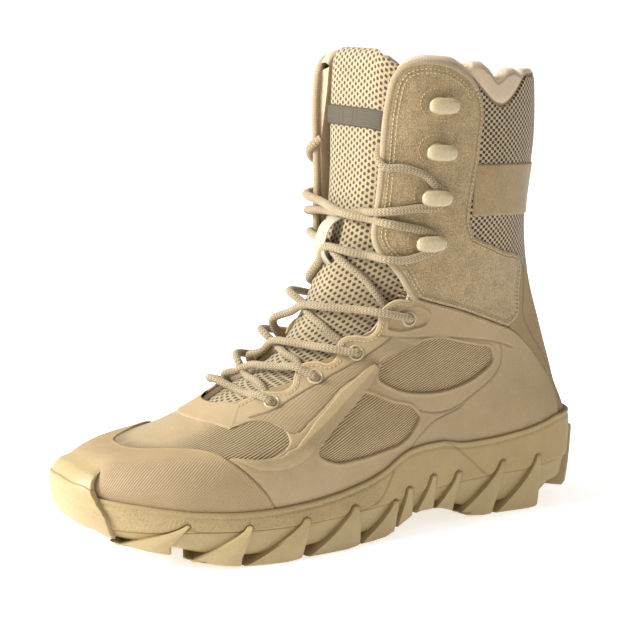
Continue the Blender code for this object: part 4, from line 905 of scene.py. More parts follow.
def makeCage(side, sign):
    p = cageLook
    mirror = np.array((sign, 1))
    front, join, edge = openLine(capEdge[:6]), openLine(cageJoin), openLine(scallops)
    top, heel = openLine([scallops[-1], *places(crest)[1:]]), openLine(heelCurve)
    loop = np.concatenate([front, openLine(windowFoot), [cageJoin[0]], join, edge, top[1:], heel[1:],
                           rimLine(heel[-1, 0], front[0, 0])])
    holes = [closedLine(line) * mirror for line in (frontWindow, rearWindow)]
    edge, drop = edge * mirror, closedLine(teardrop) * mirror
    eyestay, foot, *creases = (openLine(line) * mirror for line in
                               (eyestayLine, stripFoot, crestLine, heelRim, archLine))
    strip = np.concatenate([eyestay, foot[::-1]])

    def relief(t, v, b, d):
        # grooves along the strip's lines and the creases, raised rims round windows, teardrop and edge
        away = distanceTo(b, drop)
        groove = np.maximum(hump(distanceTo(b, eyestay), 0.55), hump(distanceTo(b, foot), 0.5) * 0.7)
        return (p['strip'] * insideOf(t, v, strip)
                - p['groove'] * (groove + 0.8 * hump(distanceTo(b, *creases), 0.6))
                + p['windowRim'] * hump(distanceTo(b, *holes) - 1.3, 0.9)
                + p['recess'] * insideOf(t, v, drop) * ramp(away, 0, 1.0) + p['dropRim'] * hump(away, 0.7)
                + p['edgeRim'] * hump(distanceTo(b, edge) - 1.3, 0.8))

    panel('cage' + side.capitalize(), loop * mirror, 'moulded', p['height'], 0.75, holes, relief=relief, edge=0.7,
          sink=lambda b: np.maximum(sinkAlong(front, 1.1)(b), sinkAlong(join, 1.6)(b)),
          # the painted border shade and dirt are kept off the join beside the trim
          marks={'edge': lambda t, v, b, d: d + 3 * hump(distanceTo(b, join * mirror), 2),
                 'strip': lambda t, v, b, d: insideOf(t, v, strip) * 1.0,
                 'plain': lambda t, v, b, d: 1.0 - insideOf(t, v, strip),
                 # painted shade in the grooves along the strip's lines and the creases, and round its foot and the
                 # teardrop
                 'seam': lambda t, v, b, d: np.maximum(hump(distanceTo(b, eyestay, *creases), 0.5),
                                                       0.7 * hump(distanceTo(b, foot, drop), 0.45))},
          slot='moulded', replaced=['cage_' + side])
    for k, hole in enumerate(holes):
        centre = hole.mean(axis=0)
        panel(f'window{side.capitalize()}{k + 1}', centre + (hole - centre) * 1.04, 'windowFabric', p['cloth'],
              relief=lambda t, v, b, d: 0.55 * ramp(d, 1, 9), slot='upper_fabric')
    ridge = surface(*(openLine(bandRidge) * mirror).T)

    def bandHeight(t, v):
        # slopes away from the ridge line: gently above it, steeply below it
        base = surface(t, v)
        index, away = nearest(base, ridge)
        return p['bandRidge'] - away * np.where(base[..., 2] > ridge[index, 2], p['bandSlope'], p['bandBevel'])

    panel('band' + side.capitalize(), closedLine(bandOutline, 0.4) * mirror, 'moulded', bandHeight, 0.6, edge=0.7,
          sink=0.9, marks={'plain': lambda t, v, b, d: 0 * t + 0.6}, slot='moulded', replaced=['band_' + side])


for side, sign in sides:
    makeCage(side, sign)
print('toe, cage and bands made')


# Trim at the foot of the throat.
trimLook = {'height': 1.8, 'share': 1.6}
trimPlaces = ((0.796, 0.372), (0.821, 0.38), (0.868, 0.391), (0.911, 0.396), (0.966, 0.4), (1.0, 0.401))
trimTop = ((0.796, 0.372), (0.808, 0.392), (0.826, 0.412), (0.842, 0.428), (0.862, 0.44), (0.9, 0.443), (0.942, 0.44),
    (1.0, 0.439))
panel('vampTrim', np.concatenate([both(smoothLine(trimPlaces)), both(smoothLine(trimTop))[::-1]]), 'moulded',
      trimLook['height'], 0.55, sink=sinkAlong(smoothLine(trimTop), trimLook['share']),
      marks={'edge': lambda t, v, b, d: 9 + 0 * t}, slot='moulded', replaced=['vamp_trim'])


# Shaft: net, strap, back stay and the suede panels.
shaftLook = {'net': 0.9, 'strap': 1.7, 'stay': 0.8, 'suede': 1.7, 'round': 170, 'stayGroove': 0.4}
shaftLines = {
    'netFront': ((-54, 240), (-53, 225), (-51.5, 199), (-52, 178), (-51.5, 160), (-49, 153)),
    'netFoot': ((-49, 153), (-28, 146), (-8, 137.4), (0, 134)),
    'strapTop': ((-51, 197.6), (-30, 196.8), (-8, 195.2), (4, 194.4)),
    'strapLow': ((-51, 169.2), (-30, 168), (-10, 166.2), (0, 165.4)),
    'stay': ((-9, 141), (-9.4, 122), (-10, 110.5), (-16, 104.2), (-10.5, 99), (-4.6, 93.8), (2.5, 86.6),
             (8.5, 78.6), (13.4, 71), (16.4, 64), (17.2, 56), (16.6, 47)),
    'stayMid': ((-2.5, 140), (-3, 122), (-4, 110), (2, 99), (10, 88), (16, 78), (21, 68), (23, 56))}


def makeShaft():
    p = shaftLook
    front, foot, top, low, stay, mid = (openLine(line) for line in shaftLines.values())
    mids = [mid, mid * (-1, 1)]
    atBack = lambda line, end, drop: np.array([(0.0, line[end, 1] - drop)])
    size = lambda t, v, b: np.stack([t * p['round'], b[..., 2]], -1)
    topTurn = np.linspace(front[0, 0] - 0.005, 0, 160)
    half = np.concatenate([atBack(foot, -1, 0.005), [(0.06, foot[-1, 1] - 0.004)], foot[::-1], front[::-1],
                           np.stack([topTurn, topAt(topTurn) - 0.003], -1)])
    panel('shaftNet', both(half, 0), 'net', p['net'], 0.9, uv=size, slot='tongue_mesh', edge=0.5)
    half = np.concatenate([atBack(low, -1, 0.003), low[::-1], top, atBack(top, -1, 0.003)])
    panel('cuffStrap', both(half, 0), 'strap', p['strap'], 0.9, uv=size, slot='suede', replaced=['cuff_strap'])
    half = np.concatenate([atBack(stay, 0, 0.005), stay, atBack(stay, -1, 0.03)])
    panel('backStay', both(half, 0), 'backCloth', p['stay'], 0.9, uv=size, slot='upper_fabric',
          relief=lambda t, v, b, d: -p['stayGroove'] * hump(distanceTo(b, *mids), 0.7),
          # painted shade in the grooves along the stay's middle lines
          marks={'seam': lambda t, v, b, d: 0.7 * hump(distanceTo(b, *mids), 0.5)})
    rear = openLine([topArc[-1], *places(suedeRear)])
    foot = openLine([*places(crest)[:0:-1], (0.600, 0.6405)])
    loop = np.concatenate([openLine(flapEdge), openLine(topArc)[1:], rear[1:], openLine(suedeCorner)[1:], foot[1:]])
    for side, sign in sides:
        panel('shaftPanel' + side.capitalize(), loop * (sign, 1), 'suede', p['suede'], 0.9, edge=0.9,
              # a line of painted shade along the stitch rows 2.9 mm in from the border
              marks={'seam': lambda t, v, b, d: 0.45 * hump(d - 2.9, 0.6)}, slot='suede',
              replaced=['shaft_panel_' + side])


makeShaft()
print('shaft made')


# Sole: foam wall, rubber wall and plate, claws, tread, toe guard.
claws = (
    # front turn, rear turn, tip turn, tip z, how far it stands out
    (0.9, 0.785, 0.752, 23.5, 2.0), (0.764, 0.684, 0.668, 20.5, 2.8), (0.68, 0.602, 0.592, 20.0, 2.8),
    (0.592, 0.518, 0.524, 21.5, 2.8), (0.514, 0.466, 0.465, 19.5, 2.2), (0.457, 0.437, 0.444, 25.0, 1.6),
    (0.427, 0.403, 0.406, 29.0, 1.6), (0.398, 0.37, 0.364, 28.0, 1.6), (0.366, 0.3, 0.286, 30.0, 2.6),
    (0.292, 0.202, 0.212, 30.0, 2.6), (0.1, 0.022, 0.064, 41.0, 3.0))
tread = (
    # front y, half width, length, sweep of its arms
    (-236, 17, 9, 7), (-214, 22, 11, 8), (-186, 20, 22, 0), (-152, 20, 11, 8), (-128, 18, 10, 8), (-50, 15, 10, 6),
    (-30, 15, 12, 0), (-14, 13, 17, 0))
soleLook = {'pitch': 0.9, 'gap': 0.9, 'rubberGap': 0.5, 'reach': 15.0, 'tipHalf': 0.0035, 'crease': 0.8,
            'bulgeOut': 0.55, 'lipGroove': 0.45}


def plateBase(turn):
    return soleValue(turn, 2) + soleValue(turn, 3)


def clawEdges(front, rear, tip, share):
    # Turns of the two edges of a claw at a share of its height: the front edge sweeps in by (1 - s)^1.35.
    half = soleLook['tipHalf']
    return tip + half + (front - tip) * (1 - share) ** 1.35, tip - half + (rear - tip + half) * (1 - share)


def clawOutline(row, sign):
    front, rear, tip, tipZ, _ = row
    share = np.linspace(0.0, 1, 60)
    low = soleValue((front + rear) / 2, 2)
    ahead, behind = clawEdges(front, rear, tip, share)
    z = low + (tipZ - low) * share
    return sign * np.concatenate([ahead, [tip], behind[::-1]]), np.concatenate([z, [tipZ + 0.7], z[::-1]])


clawLines = np.concatenate([soleWall(*clawOutline(row, sign), 0.4) for row in claws for sign in (1, -1)])
wallLines = (
    # (turn, z) on the foam: the curved end of the stippled band, the crease at the heel, the step of the block
    # behind it, and the edge along the forefoot
    ((0.518, 18.0), (0.499, 19.6), (0.484, 23.6), (0.473, 30.8), (0.466, 36.2)),
    ((0.387, 46.8), (0.377, 44.8), (0.359, 39.2), (0.333, 30.0), (0.314, 23.4), (0.289, 19.6), (0.255, 18.0),
     (0.242, 18.6)),
    ((0.204, 21.0), (0.187, 23.2), (0.163, 24.4)),
    ((0.746, 21.0), (0.722, 19.0), (0.689, 18.0), (0.663, 16.8), (0.624, 15.6), (0.588, 15.6), (0.563, 15.8),
     (0.542, 15.6)))


def wallLine(line, sign):
    turn, z = (cubicThrough(np.linspace(0, 1, len(line)), k, np.linspace(0, 1, 160)) for k in zip(*line))
    return soleWall(sign * turn, z, 0.5)


def ringTurns():
    # Turns all the way round, closed, at an even pitch along the sole's edge.
    t = np.linspace(-1, 1, 6001)
    run = runOf(soleWall(t, 0 * t + 20, 0))
    return np.interp(np.linspace(0, run[-1], int(run[-1] / soleLook['pitch'])), run, t)


def clawGap(points, width):
    return hump(np.maximum(nearest(points, clawLines)[1] - 0.2, 0), width)


def makeFoam():
    # Rows up the wall, over the lip by a quarter turn and in under the upper; grooves round the claws and along
    # the wall's lines.
    p = soleLook
    t = ringTurns()
    split, rim = soleValue(t, 1), soleValue(t, 0)
    share = np.linspace(0, 1, 38)[:, None]
    z = split + 0.3 + (rim - split - 0.3) * share
    turn = np.broadcast_to(t, z.shape)
    base = soleWall(turn, z, 0)
    gap = clawGap(base, 0.55)
    lines = np.concatenate([wallLine(line, sign) for line in wallLines for sign in (1, -1)])
    crease = hump(nearest(base, lines)[1], 0.6)
    stipple = ramp(around(turn), 0.475, 0.495) * (1 - ramp(around(turn), 0.9, 0.93))
    lift = p['bulgeOut'] * ramp(share, 0, 0.08) - p['gap'] * gap - p['crease'] * crease
    lift = lift - p['lipGroove'] * hump((rim - z) - 2.2, 0.7)
    bend = np.linspace(0.25, 1, 5)[:, None] * np.pi / 2
    lipZ = np.minimum(rim + 0.72 * np.sin(bend), rim + 0.7)
    lip = soleWall(np.broadcast_to(t, lipZ.shape), lipZ, p['bulgeOut'] - 1.3 * (1 - np.cos(bend)))
    level = rimLevel(t)
    tuck = [lifted(t, level + 0.002, 0.4), lifted(t, np.maximum(level - 0.03, 0), 0.2)]
    points = np.concatenate([[soleWall(t, split + 0.3, -4.5)], soleWall(turn, z, lift), lip, tuck])
    rows = len(points)
    pad = lambda values: np.concatenate([values[:1], values, np.zeros((rows - len(values) - 1, len(t)))])
    size = np.stack([np.broadcast_to(runOf(base[0]), (rows, len(t))), points[..., 2]], -1)
    # the grooves round the claws and along the wall's lines are also darkened with painted shade
    makePiece('foamWall', points, gridFaces(rows, len(t)), 'foam', np.broadcast_to(rimSide(t), points.shape), size,
              {'seam': pad(np.maximum(gap, crease * 0.8)), 'stipple': pad(stipple)}, slot='foam',
              replaced=['midsole'])


def makeRubber():
    # Rows of (z, out) up the wall; the plate runs straight across from the outer to the inner edge.
    t = ringTurns()
    base, split = plateBase(t), soleValue(t, 1)
    middle = lambda share: base + 1.7 + (split - 2.7 - base) * share
    rows = ((base, -4.2), (base, -2.9), (base + 0.5, -2.3), (base + 1.7, -1.4), (middle(0.25), -1.2),
            (middle(0.5), -1.2), (middle(0.75), -1.2), (split - 1.0, -0.8), (split - 0.3, -0.85),
            (split + 0.1, -1.3), (split + 0.25, -4.4))
    gaps = np.array([clawGap(soleWall(t, z, out), 0.6) for z, out in rows])
    points = np.array([soleWall(t, z, out - soleLook['rubberGap'] * gap) for (z, out), gap in zip(rows, gaps)])
    size = np.stack([np.broadcast_to(runOf(points[4]), points.shape[:2]), points[..., 2]], -1)
    turn = np.linspace(0.0, 1, 120)
    share = np.linspace(0, 1, 21)[None, :, None]
    outer, inner = (soleWall(k, plateBase(k), -4.0)[:, None] for k in (turn, -turn))
    plate = outer * (1 - share) + inner * share
    parts = []
    for points, look, size in ((points, rimSide(t), size), (plate, (0, 0, -1.0), plate[..., :2])):
        look = np.broadcast_to(look, points.shape).reshape(-1, 3)
        faces, points = gridFaces(*points.shape[:2]), points.reshape(-1, 3)
        parts.append((points, facing(points, faces, look), look, size.reshape(-1, 2)))
    points, faces, _, size = joined(parts)
    # painted shade in the gaps round the claws
    seam = np.append(gaps, np.zeros(plate[..., 0].size))
    makePiece('rubberWall', points, faces, 'rubber', None, size, {'seam': seam}, sharp=40, slot='rubber',
              replaced=['outsole'])


def ringSolid(ring, look, uv):
    points, look = ring.reshape(-1, 3), look.reshape(-1, 3)
    return points, facing(points, gridFaces(*ring.shape[:2], True), look), look, points[:, uv]


def makeClaws():
    # Claw: closed rings of points between its two edges. Across, the front facet rises to a ridge nearer the
    # rear edge and the rear facet falls again; up, the ring narrows to the tip.
    across = np.array((0.0, 0.03, 0.34, 0.69, 0.73, 0.77, 0.87, 0.97, 1.0))
    share = np.concatenate([[0, 0.0, 0.035], np.linspace(0.10, 1.0, 22), [1.03]])
    narrow = np.concatenate([[0.9, 0.97], np.ones(23), [0.1]])
    dip = np.concatenate([[1.6, 0.6], np.zeros(22), [0.35, 1.6]])[:, None]
    parts = []
    for front, rear, tip, tipZ, proud in claws:
        low, high = soleValue((front + rear) / 2, 2), plateBase((front + rear) / 2)
        ahead, behind = clawEdges(front, rear, tip, np.minimum(share, 1))
        middle, half = (ahead + behind) / 2, (ahead - behind) / 2 * narrow
        turn = (middle + half)[:, None] - across[None] * 2 * half[:, None]
        rise = (tipZ - low) * share[:, None]
        z = np.where(share[:, None] < 0.09, np.maximum(soleValue(turn, 2), 0) + rise, low + rise + 0 * turn)
        edgeOut = np.array((0.2, 1.2, 1.1, 0.95, 0.9, 0.85, 1.0, 1.0, 0.0))
        edgeOut = edgeOut + proud * np.array((0, 0.3, 0.62, 0.97, 1.02, 0.97, 0.72, 0.45, 0))
        out = edgeOut - 0.45 * np.clip(share, 0, 1)[:, None] * (edgeOut - 1.7) - dip
        deep = np.where(z[:, :1] < high + 0.5, -soleLook['reach'], -1.6)
        for sign in (1, -1):
            inner = soleWall(sign * turn[:, :1], z[:, :1], deep)
            ring = np.concatenate([soleWall(sign * turn, z, out), inner], axis=1)
            centre = ring.mean(axis=1, keepdims=True)
            caps = [np.repeat(ring[k].mean(axis=0)[None, None], ring.shape[1], 1) for k in (0, -1)]
            ring = np.concatenate([caps[0], ring, caps[1]])
            centre = np.concatenate([centre[1:2] + (0, 0, 2), centre, centre[-2:-1]])
            parts.append(ringSolid(ring, ring - centre, slice(1, 3)))
    for frontY, half, length, sweep in tread:
        # tread lug: a chevron carried down from the plate to the ground line, its lower edge bevelled
        flat = np.array([(-half, frontY + sweep), (0, frontY), (half, frontY + sweep),
                         (half, frontY + sweep + length), (0, frontY + length), (-half, frontY + sweep + length)])
        share = (solePlan['back'] - flat[:, 1]) / (solePlan['back'] - solePlan['front'])
        turn = np.arccos(1 - 2 * np.clip(share, 0, 1)) / np.pi
        ground, middle = soleValue(turn, 2), flat.mean(axis=0)
        ring = np.array([np.column_stack([middle + (flat - middle) * k, z]) for k, z in
                         ((1.04, plateBase(turn) + 1.5), (1.0, ground + 0.9), (0.93, ground), (0.02, ground))])
        parts.append(ringSolid(ring, ring - (*middle, ring[0, 0, 2]), slice(0, 2)))
    points, faces, _, size = joined(parts)
    makePiece('claws', points, faces, 'rubber', None, size, sharp=22, slot='rubber')


guardLook = {
    'edgeLow': 0.884, 'edgeHigh': 0.918, 'top': ((0.884, 44.5), (0.93, 49.5), (1.0, 51.0)), 'foot': 2.0,
    'ridges': 0.4, 'ridgeAt': (0.32, 0.46, 0.60), 'seam': 0.45, 'grooveShadeAt': 0.795, 'sideEdge': 1.6,
    'mmPerTurn': 560,
    'stand': ((0.0, 0.6), (0.02, 1.9), (0.10, 3.0), (0.30, 3.5), (0.60, 3.6), (0.75, 3.4), (0.785, 3.2), (0.80, 2.5),
              (0.83, 2.4), (0.92, 2.2), (0.965, 1.9), (0.99, 1.2), (1.0, 0.3))}


def makeToeGuard():
    # Profile carried round the toe: height share and how far it stands out, with three faint ridges; the side
    # edges slant and end in a rounded step.
    p = guardLook
    share, across = np.linspace(0, 1, 90)[:, None], np.linspace(-1, 1, 170)[None]
    edge = p['edgeLow'] + (p['edgeHigh'] - p['edgeLow']) * ramp(share, 0.35, 0.95)
    turn = 1 - (1 - edge) * across
    low, rim = soleValue(turn, 2) + p['foot'], soleValue(turn, 0)
    z = low + (np.interp(around(turn), *np.array(p['top']).T) - low) * share
    out = np.interp(share, *np.array(p['stand']).T) + sum(p['ridges'] * hump(share - k, 0.02) for k in p['ridgeAt'])
    border = (1 - np.abs(across)) * (1 - edge) * p['mmPerTurn']      # mm to the side edges
    out = out * np.sqrt(1 - (1 - np.clip(border / p['sideEdge'], 0, 1)) ** 2) - 0.4 * (border < 0.05)
    grid = surface(turn[0][:, None], lowLevels[None])[..., 2]
    level = np.stack([np.interp(z[:, c], grid[c], lowLevels) for c in range(z.shape[1])], 1)
    sideways = unit(outward(turn, level) * (1, 1, 0))
    over = surface(turn, level) + sideways * (solePlan['lip'] + out)[..., None]
    points = np.where((z > rim)[..., None], over, soleWall(turn, np.minimum(z, rim), out))
    points = np.concatenate([points, lifted(turn[-1:], level[-1:] + 0.004, 1.2)])
    # a line of painted shade along the step near the guard's top
    seam = np.append(p['seam'] * hump(share - p['grooveShadeAt'], 0.010) + 0 * turn, 0 * turn[:1], axis=0)
    look = np.broadcast_to(sideways[40:41], points.shape)
    marks = {'edge': np.append(border, border[-1:], axis=0), 'seam': seam}
    makePiece('toeGuard', points, gridFaces(*points.shape[:2]), 'rubber', look, points[..., 1:], marks,
              slot='rubber', replaced=['toe_guard'])


makeFoam()
makeRubber()
makeClaws()
makeToeGuard()
print('sole made')


# Tongue with its label and lace keeper.
tongueLook = {'edgeDepth': 4.2, 'lowRise': 2.2, 'thick': 4.8, 'rise': 3.0, 'crown': 0.035, 'foot': 0.408, 'puff': 0.5}
labelLook = {'level': 0.8765, 'height': 0.033, 'half': 0.21, 'edge': 0.6, 'thick': 0.75, 'over': 0.5,
             'halfSize': 24, 'highSize': 9}      # the last two in mm
keeperLook = {'width': 10.5, 'thick': 1.2, 'height': 8.0, 'level': 0.688, 'length': 0.060}


def overTongue(turn, level, height):
    # Above the tongue's own surface, whose depth under the upper's is the edge's plus a dome of (1 - aside^2).
    turn = wrapped(turn)
    dome, spread = (np.interp(level, tongueTable[:, 0], tongueTable[:, k]) for k in (1, 2))
    low = tongueLook['lowRise'] * (1 - ramp(level, 0.46, 0.54))
    depth = tongueLook['edgeDepth'] - low + dome * np.clip(1 - ((1 - np.abs(turn)) / spread) ** 2, 0, 1)
    return lifted(turn, level, height - depth)


def makeTongue():
    # A pad: height = middle +- half thickness * sqrt(1 - aside^10), thinning to its ends.
    p = tongueLook
    rows, columns = 210, 81
    v, aside = np.linspace(0, 1, rows)[:, None], np.linspace(1, -1, columns)[None]
    level = p['foot'] + (1 - p['foot']) * v
    turn = 1 - np.interp(level, tongueTable[:, 0], tongueTable[:, 2]) * aside
    nearTop = np.clip((level - 0.9) / 0.1, 0, 1)
    level = level - p['crown'] * aside ** 2 * nearTop
    half = p['thick'] / 2 * np.sqrt(1 - np.abs(aside) ** 10) * np.sqrt(1 - np.clip((v - 0.965) / 0.035, 0, 1) ** 2)
    half = half * np.where(level < 0.48, 0.7, 1.0)
    puff = p['puff'] * np.sin(np.pi * v) * (1 - aside ** 2)
    lift = nearTop[..., None] * (0, 0, p['rise'])
    front = overTongue(turn, level, half + puff - p['thick'] / 2) + lift
    back = overTongue(turn, level, -half - p['thick'] / 2) + lift
    width = np.pad(np.cumsum(np.linalg.norm(np.diff(front, axis=1), axis=-1), axis=1), ((0, 0), (1, 0)))
    width = width - width[:, columns // 2][:, None]
    size = np.stack([width, runOf(front[:, columns // 2])[:, None] + 0 * width], -1)
    look = outward(turn, level)
    folded = lambda one, other: np.concatenate([one, other[:, ::-1]], axis=1)
    makePiece('tonguePad', folded(front, back), gridFaces(rows, columns * 2, True), 'tongueNet', folded(look, -look),
              folded(size, size), slot='tongue_mesh', replaced=['tongue'])


def makeLabel():
    # A bare woven band sewn across the tongue.
    p = labelLook
    v, u = np.linspace(0, 1, 22)[:, None], np.linspace(-1, 1, 70)[None]
    level, turn = p['level'] + p['height'] * v + 0 * u, wrapped(1 - p['half'] * u + 0 * v)
    across, up = u * p['halfSize'], v * p['highSize']
    border = np.minimum(p['halfSize'] - np.abs(across), np.minimum(up, p['highSize'] - up))      # mm to its edges
    height = p['edge'] + p['thick'] * np.sqrt(1 - (1 - np.clip(border / 0.8, 0, 1)) ** 2)
    points = overTongue(turn, level, height - 0.25 * hump(border - 1.4, 0.4) + p['over'])
    size = np.stack(np.broadcast_arrays(across, up), -1)
    makePiece('tongueLabel', points, gridFaces(22, 70), 'label', outward(turn, level), size, {'edge': border},
              slot='webbing', replaced=['tongue_label'])


def makeKeeper():
    # A strap carried along an arch over the tongue: its section is a rectangle with rounded corners.
    p = keeperLook
    s = np.linspace(0, 1, 60)
    arch = 0.4 + p['height'] * (1 - np.abs(2 * s - 1) ** 3.2)
    centre = overTongue(np.ones(60), p['level'] + p['length'] * s, arch)
    out = unit(np.cross((1.0, 0, 0), unit(np.gradient(centre, axis=0))))
    out = out * np.sign((out * (0, -1, 0)).sum(-1, keepdims=True))
    w = np.linspace(0, 2 * np.pi, 41)[:-1]
    rounded = lambda wave, power: np.sign(wave) * np.abs(wave) ** power / 2
    ringX, ringN = rounded(np.cos(w), 0.35) * p['width'], rounded(np.sin(w), 0.6) * p['thick']
    look = ringX[None, :, None] * np.array((1.0, 0, 0)) + ringN[None, :, None] * out[:, None]
    size = np.stack(np.broadcast_arrays(ringX[None], runOf(centre)[:, None]), -1)
    makePiece('laceKeeper', centre[:, None] + look, gridFaces(60, 40, True), 'webbing', look, size, slot='webbing',
              replaced=['lace_keeper'])


makeTongue()
makeLabel()
makeKeeper()
print('tongue made')


# Binding, piping and stitches.
edgeLook = {'binding': 2.0, 'bindingIn': 0.6, 'piping': 0.75, 'stitch': 0.38, 'stitchHeight': 1.75}
stitchLines = (
    # line, offsets of its rows in mm, towards the panel where they are negative
    (flapEdge, (-2.9, -4.9)), (topArc, (-2.9, -4.9)), (scallops, (-2.2,)), (crest, (-1.6, 1.5)),
    (suedeRear, (-2.2,)), (suedeCorner, (-2.0, -3.6)))


def makeTrims():
    # Binding and piping are tubes on the panels' edges; stitches run beside them on the side of the panel.
    p = edgeLook
    binding, piping, rows = [], [], []
    for sign in (1, -1):
        flap = np.concatenate([openLine(flapEdge), openLine(topArc)[1:]]) * (sign, 1)
        centre = shifted(flap, p['bindingIn'] * sign)
        binding.append(tubeAlong(lifted(*centre.T, 0.2)[::2], p['binding']))
        piping.append(tubeAlong(lifted(*(openLine(scallops) * (sign, 1)).T, 1.0), p['piping'], 8))
        for line, offsets in stitchLines:
            line = openLine(line) * (sign, 1)
            rows += [stitches(shifted(line, offset * sign), p['stitchHeight'], radius=p['stitch'])
                     for offset in offsets]
    makePiece('flapBinding', *joinedPiece(binding, 'binding'), slot='lining')
    makePiece('eyestayPiping', *joinedPiece(piping, 'thread'), slot='moulded')
    makePiece('stitchRows', *joinedPiece(rows, 'thread'), slot='lace_cord')


makeTrims()
print('trims made')


# Hooks and eyelets.
hookLook = {'length': 8.6, 'width': 4.4, 'under': 6.2, 'top': 10.6, 'stem': 2.6, 'washer': 5.2, 'lean': 0.10,
            'squareness': 0.72, 'stitchRing': (10.6, 8.4)}
eyeletLook = {
    # rings of (height over the panel, radius), and those of the dark disc painted as shade in the hole
    'ring': ((-0.2, 4.4), (0.25, 4.2), (0.6, 3.7), (0.6, 3.3), (0.1, 2.9), (-1.2, 2.7)),
    'hole': ((-0.25, 2.95), (-0.25, 0.02)), 'panel': (1.2, 1.7, 1.7, 1.7)}


def numbered(kind, first):
    return [f'{kind}_{side}_{k}' for side, _ in sides for k in range(first, first + 4)]


def ringsPiece(turn, level, rows, count, lean=0.0, power=1.0):
    # Rings of (height, half length, half width) round an axis of the boot's surface.
    here, out = surface(turn, level), outward(turn, level)
    a = unit(besides(turn, level))
    b = np.cross(out, a)
    c, s = np.cos(lean), np.sin(lean)
    a, b = a * c + b * s, b * c - a * s
    w = np.linspace(0, 2 * np.pi, count + 1)
    c, s = (np.sign(f) * np.abs(f) ** power for f in (np.cos(w), np.sin(w)))
    high, halfLength, halfWidth = np.array(rows, float).T[..., None]
    points = here + high[..., None] * out + (halfLength * c)[..., None] * a + (halfWidth * s)[..., None] * b
    look = points - (here + high.mean() * out)
    size = np.stack(np.broadcast_arrays(high, w[None] * 4), -1)
    return points.reshape(-1, 3), gridFaces(len(rows), count + 1), look.reshape(-1, 3), size.reshape(-1, 2)


def makeHooks():
    # Each hook is a domed bar on a stem with a washer, in a ring of stitches.
    p = hookLook
    middle, half = (p['under'] + p['top']) / 2, (p['top'] - p['under']) / 2
    bend = np.pi * np.linspace(-0.5, 0.5, 17)
    slim = np.maximum(np.cos(bend), 0) ** 0.55
    dome = np.stack([middle + half * np.sin(bend) * np.where(bend > 0, 1.15, 0.75), p['length'] * slim,
                     p['width'] * slim], -1)
    w, s = p['washer'], p['stem']
    stem = [(1.6, w, w * 0.8), (2.3, w, w * 0.8), (2.6, w * 0.8, w * 0.66), (2.8, s, s * 0.8),
            (p['under'] + 1, s, s * 0.8)]
    lap = np.linspace(0, 2 * np.pi, 91)
    long, wide = p['stitchRing']
    rows, rings = [], []
    for sign in (1, -1):
        for turn, level in hooks:
            rows.append(ringsPiece(sign * turn, level, dome, 32, sign * p['lean'], p['squareness']))
            rows.append(ringsPiece(sign * turn, level, stem, 20, sign * p['lean']))
            perTurn, perLevel = (np.linalg.norm(surface(turn + u, level + v) - surface(turn - u, level - v)) / small
                                 for u, v in ((small / 2, 0), (0, small / 2)))      # mm on the boot
            line = np.stack([turn + long * np.cos(lap) / perTurn, level + wide * np.sin(lap) / perLevel], -1)
            rings.append(stitches(line * (sign, 1), 1.8, 2.0, 1.3, 0.28))
    makePiece('hooks', *joinedPiece(rows, 'hardware'), slot='hardware', replaced=numbered('hook', 1))
    makePiece('hookStitches', *joinedPiece(rings, 'thread'), slot='lace_cord')


def makeEyelets():
    p = eyeletLook
    parts = {'ring': [], 'hole': []}
    for sign in (1, -1):
        for low, (turn, level) in zip(p['panel'], eyelets):
            for kind, made in parts.items():
                rows = [(low + high, radius, radius) for high, radius in p[kind]]
                points, faces, _, size = ringsPiece(sign * turn, level, rows, 28)
                made.append((points, faces, np.broadcast_to(outward(sign * turn, level), points.shape), size))
    makePiece('eyeletRings', *joinedPiece(parts['ring'], 'hardware'), slot='moulded', replaced=numbered('eyelet', 5))
    makePiece('eyeletHoles', *joinedPiece(parts['hole'], 'hole'), slot='moulded')


makeHooks()
makeEyelets()
print('hooks and eyelets made')


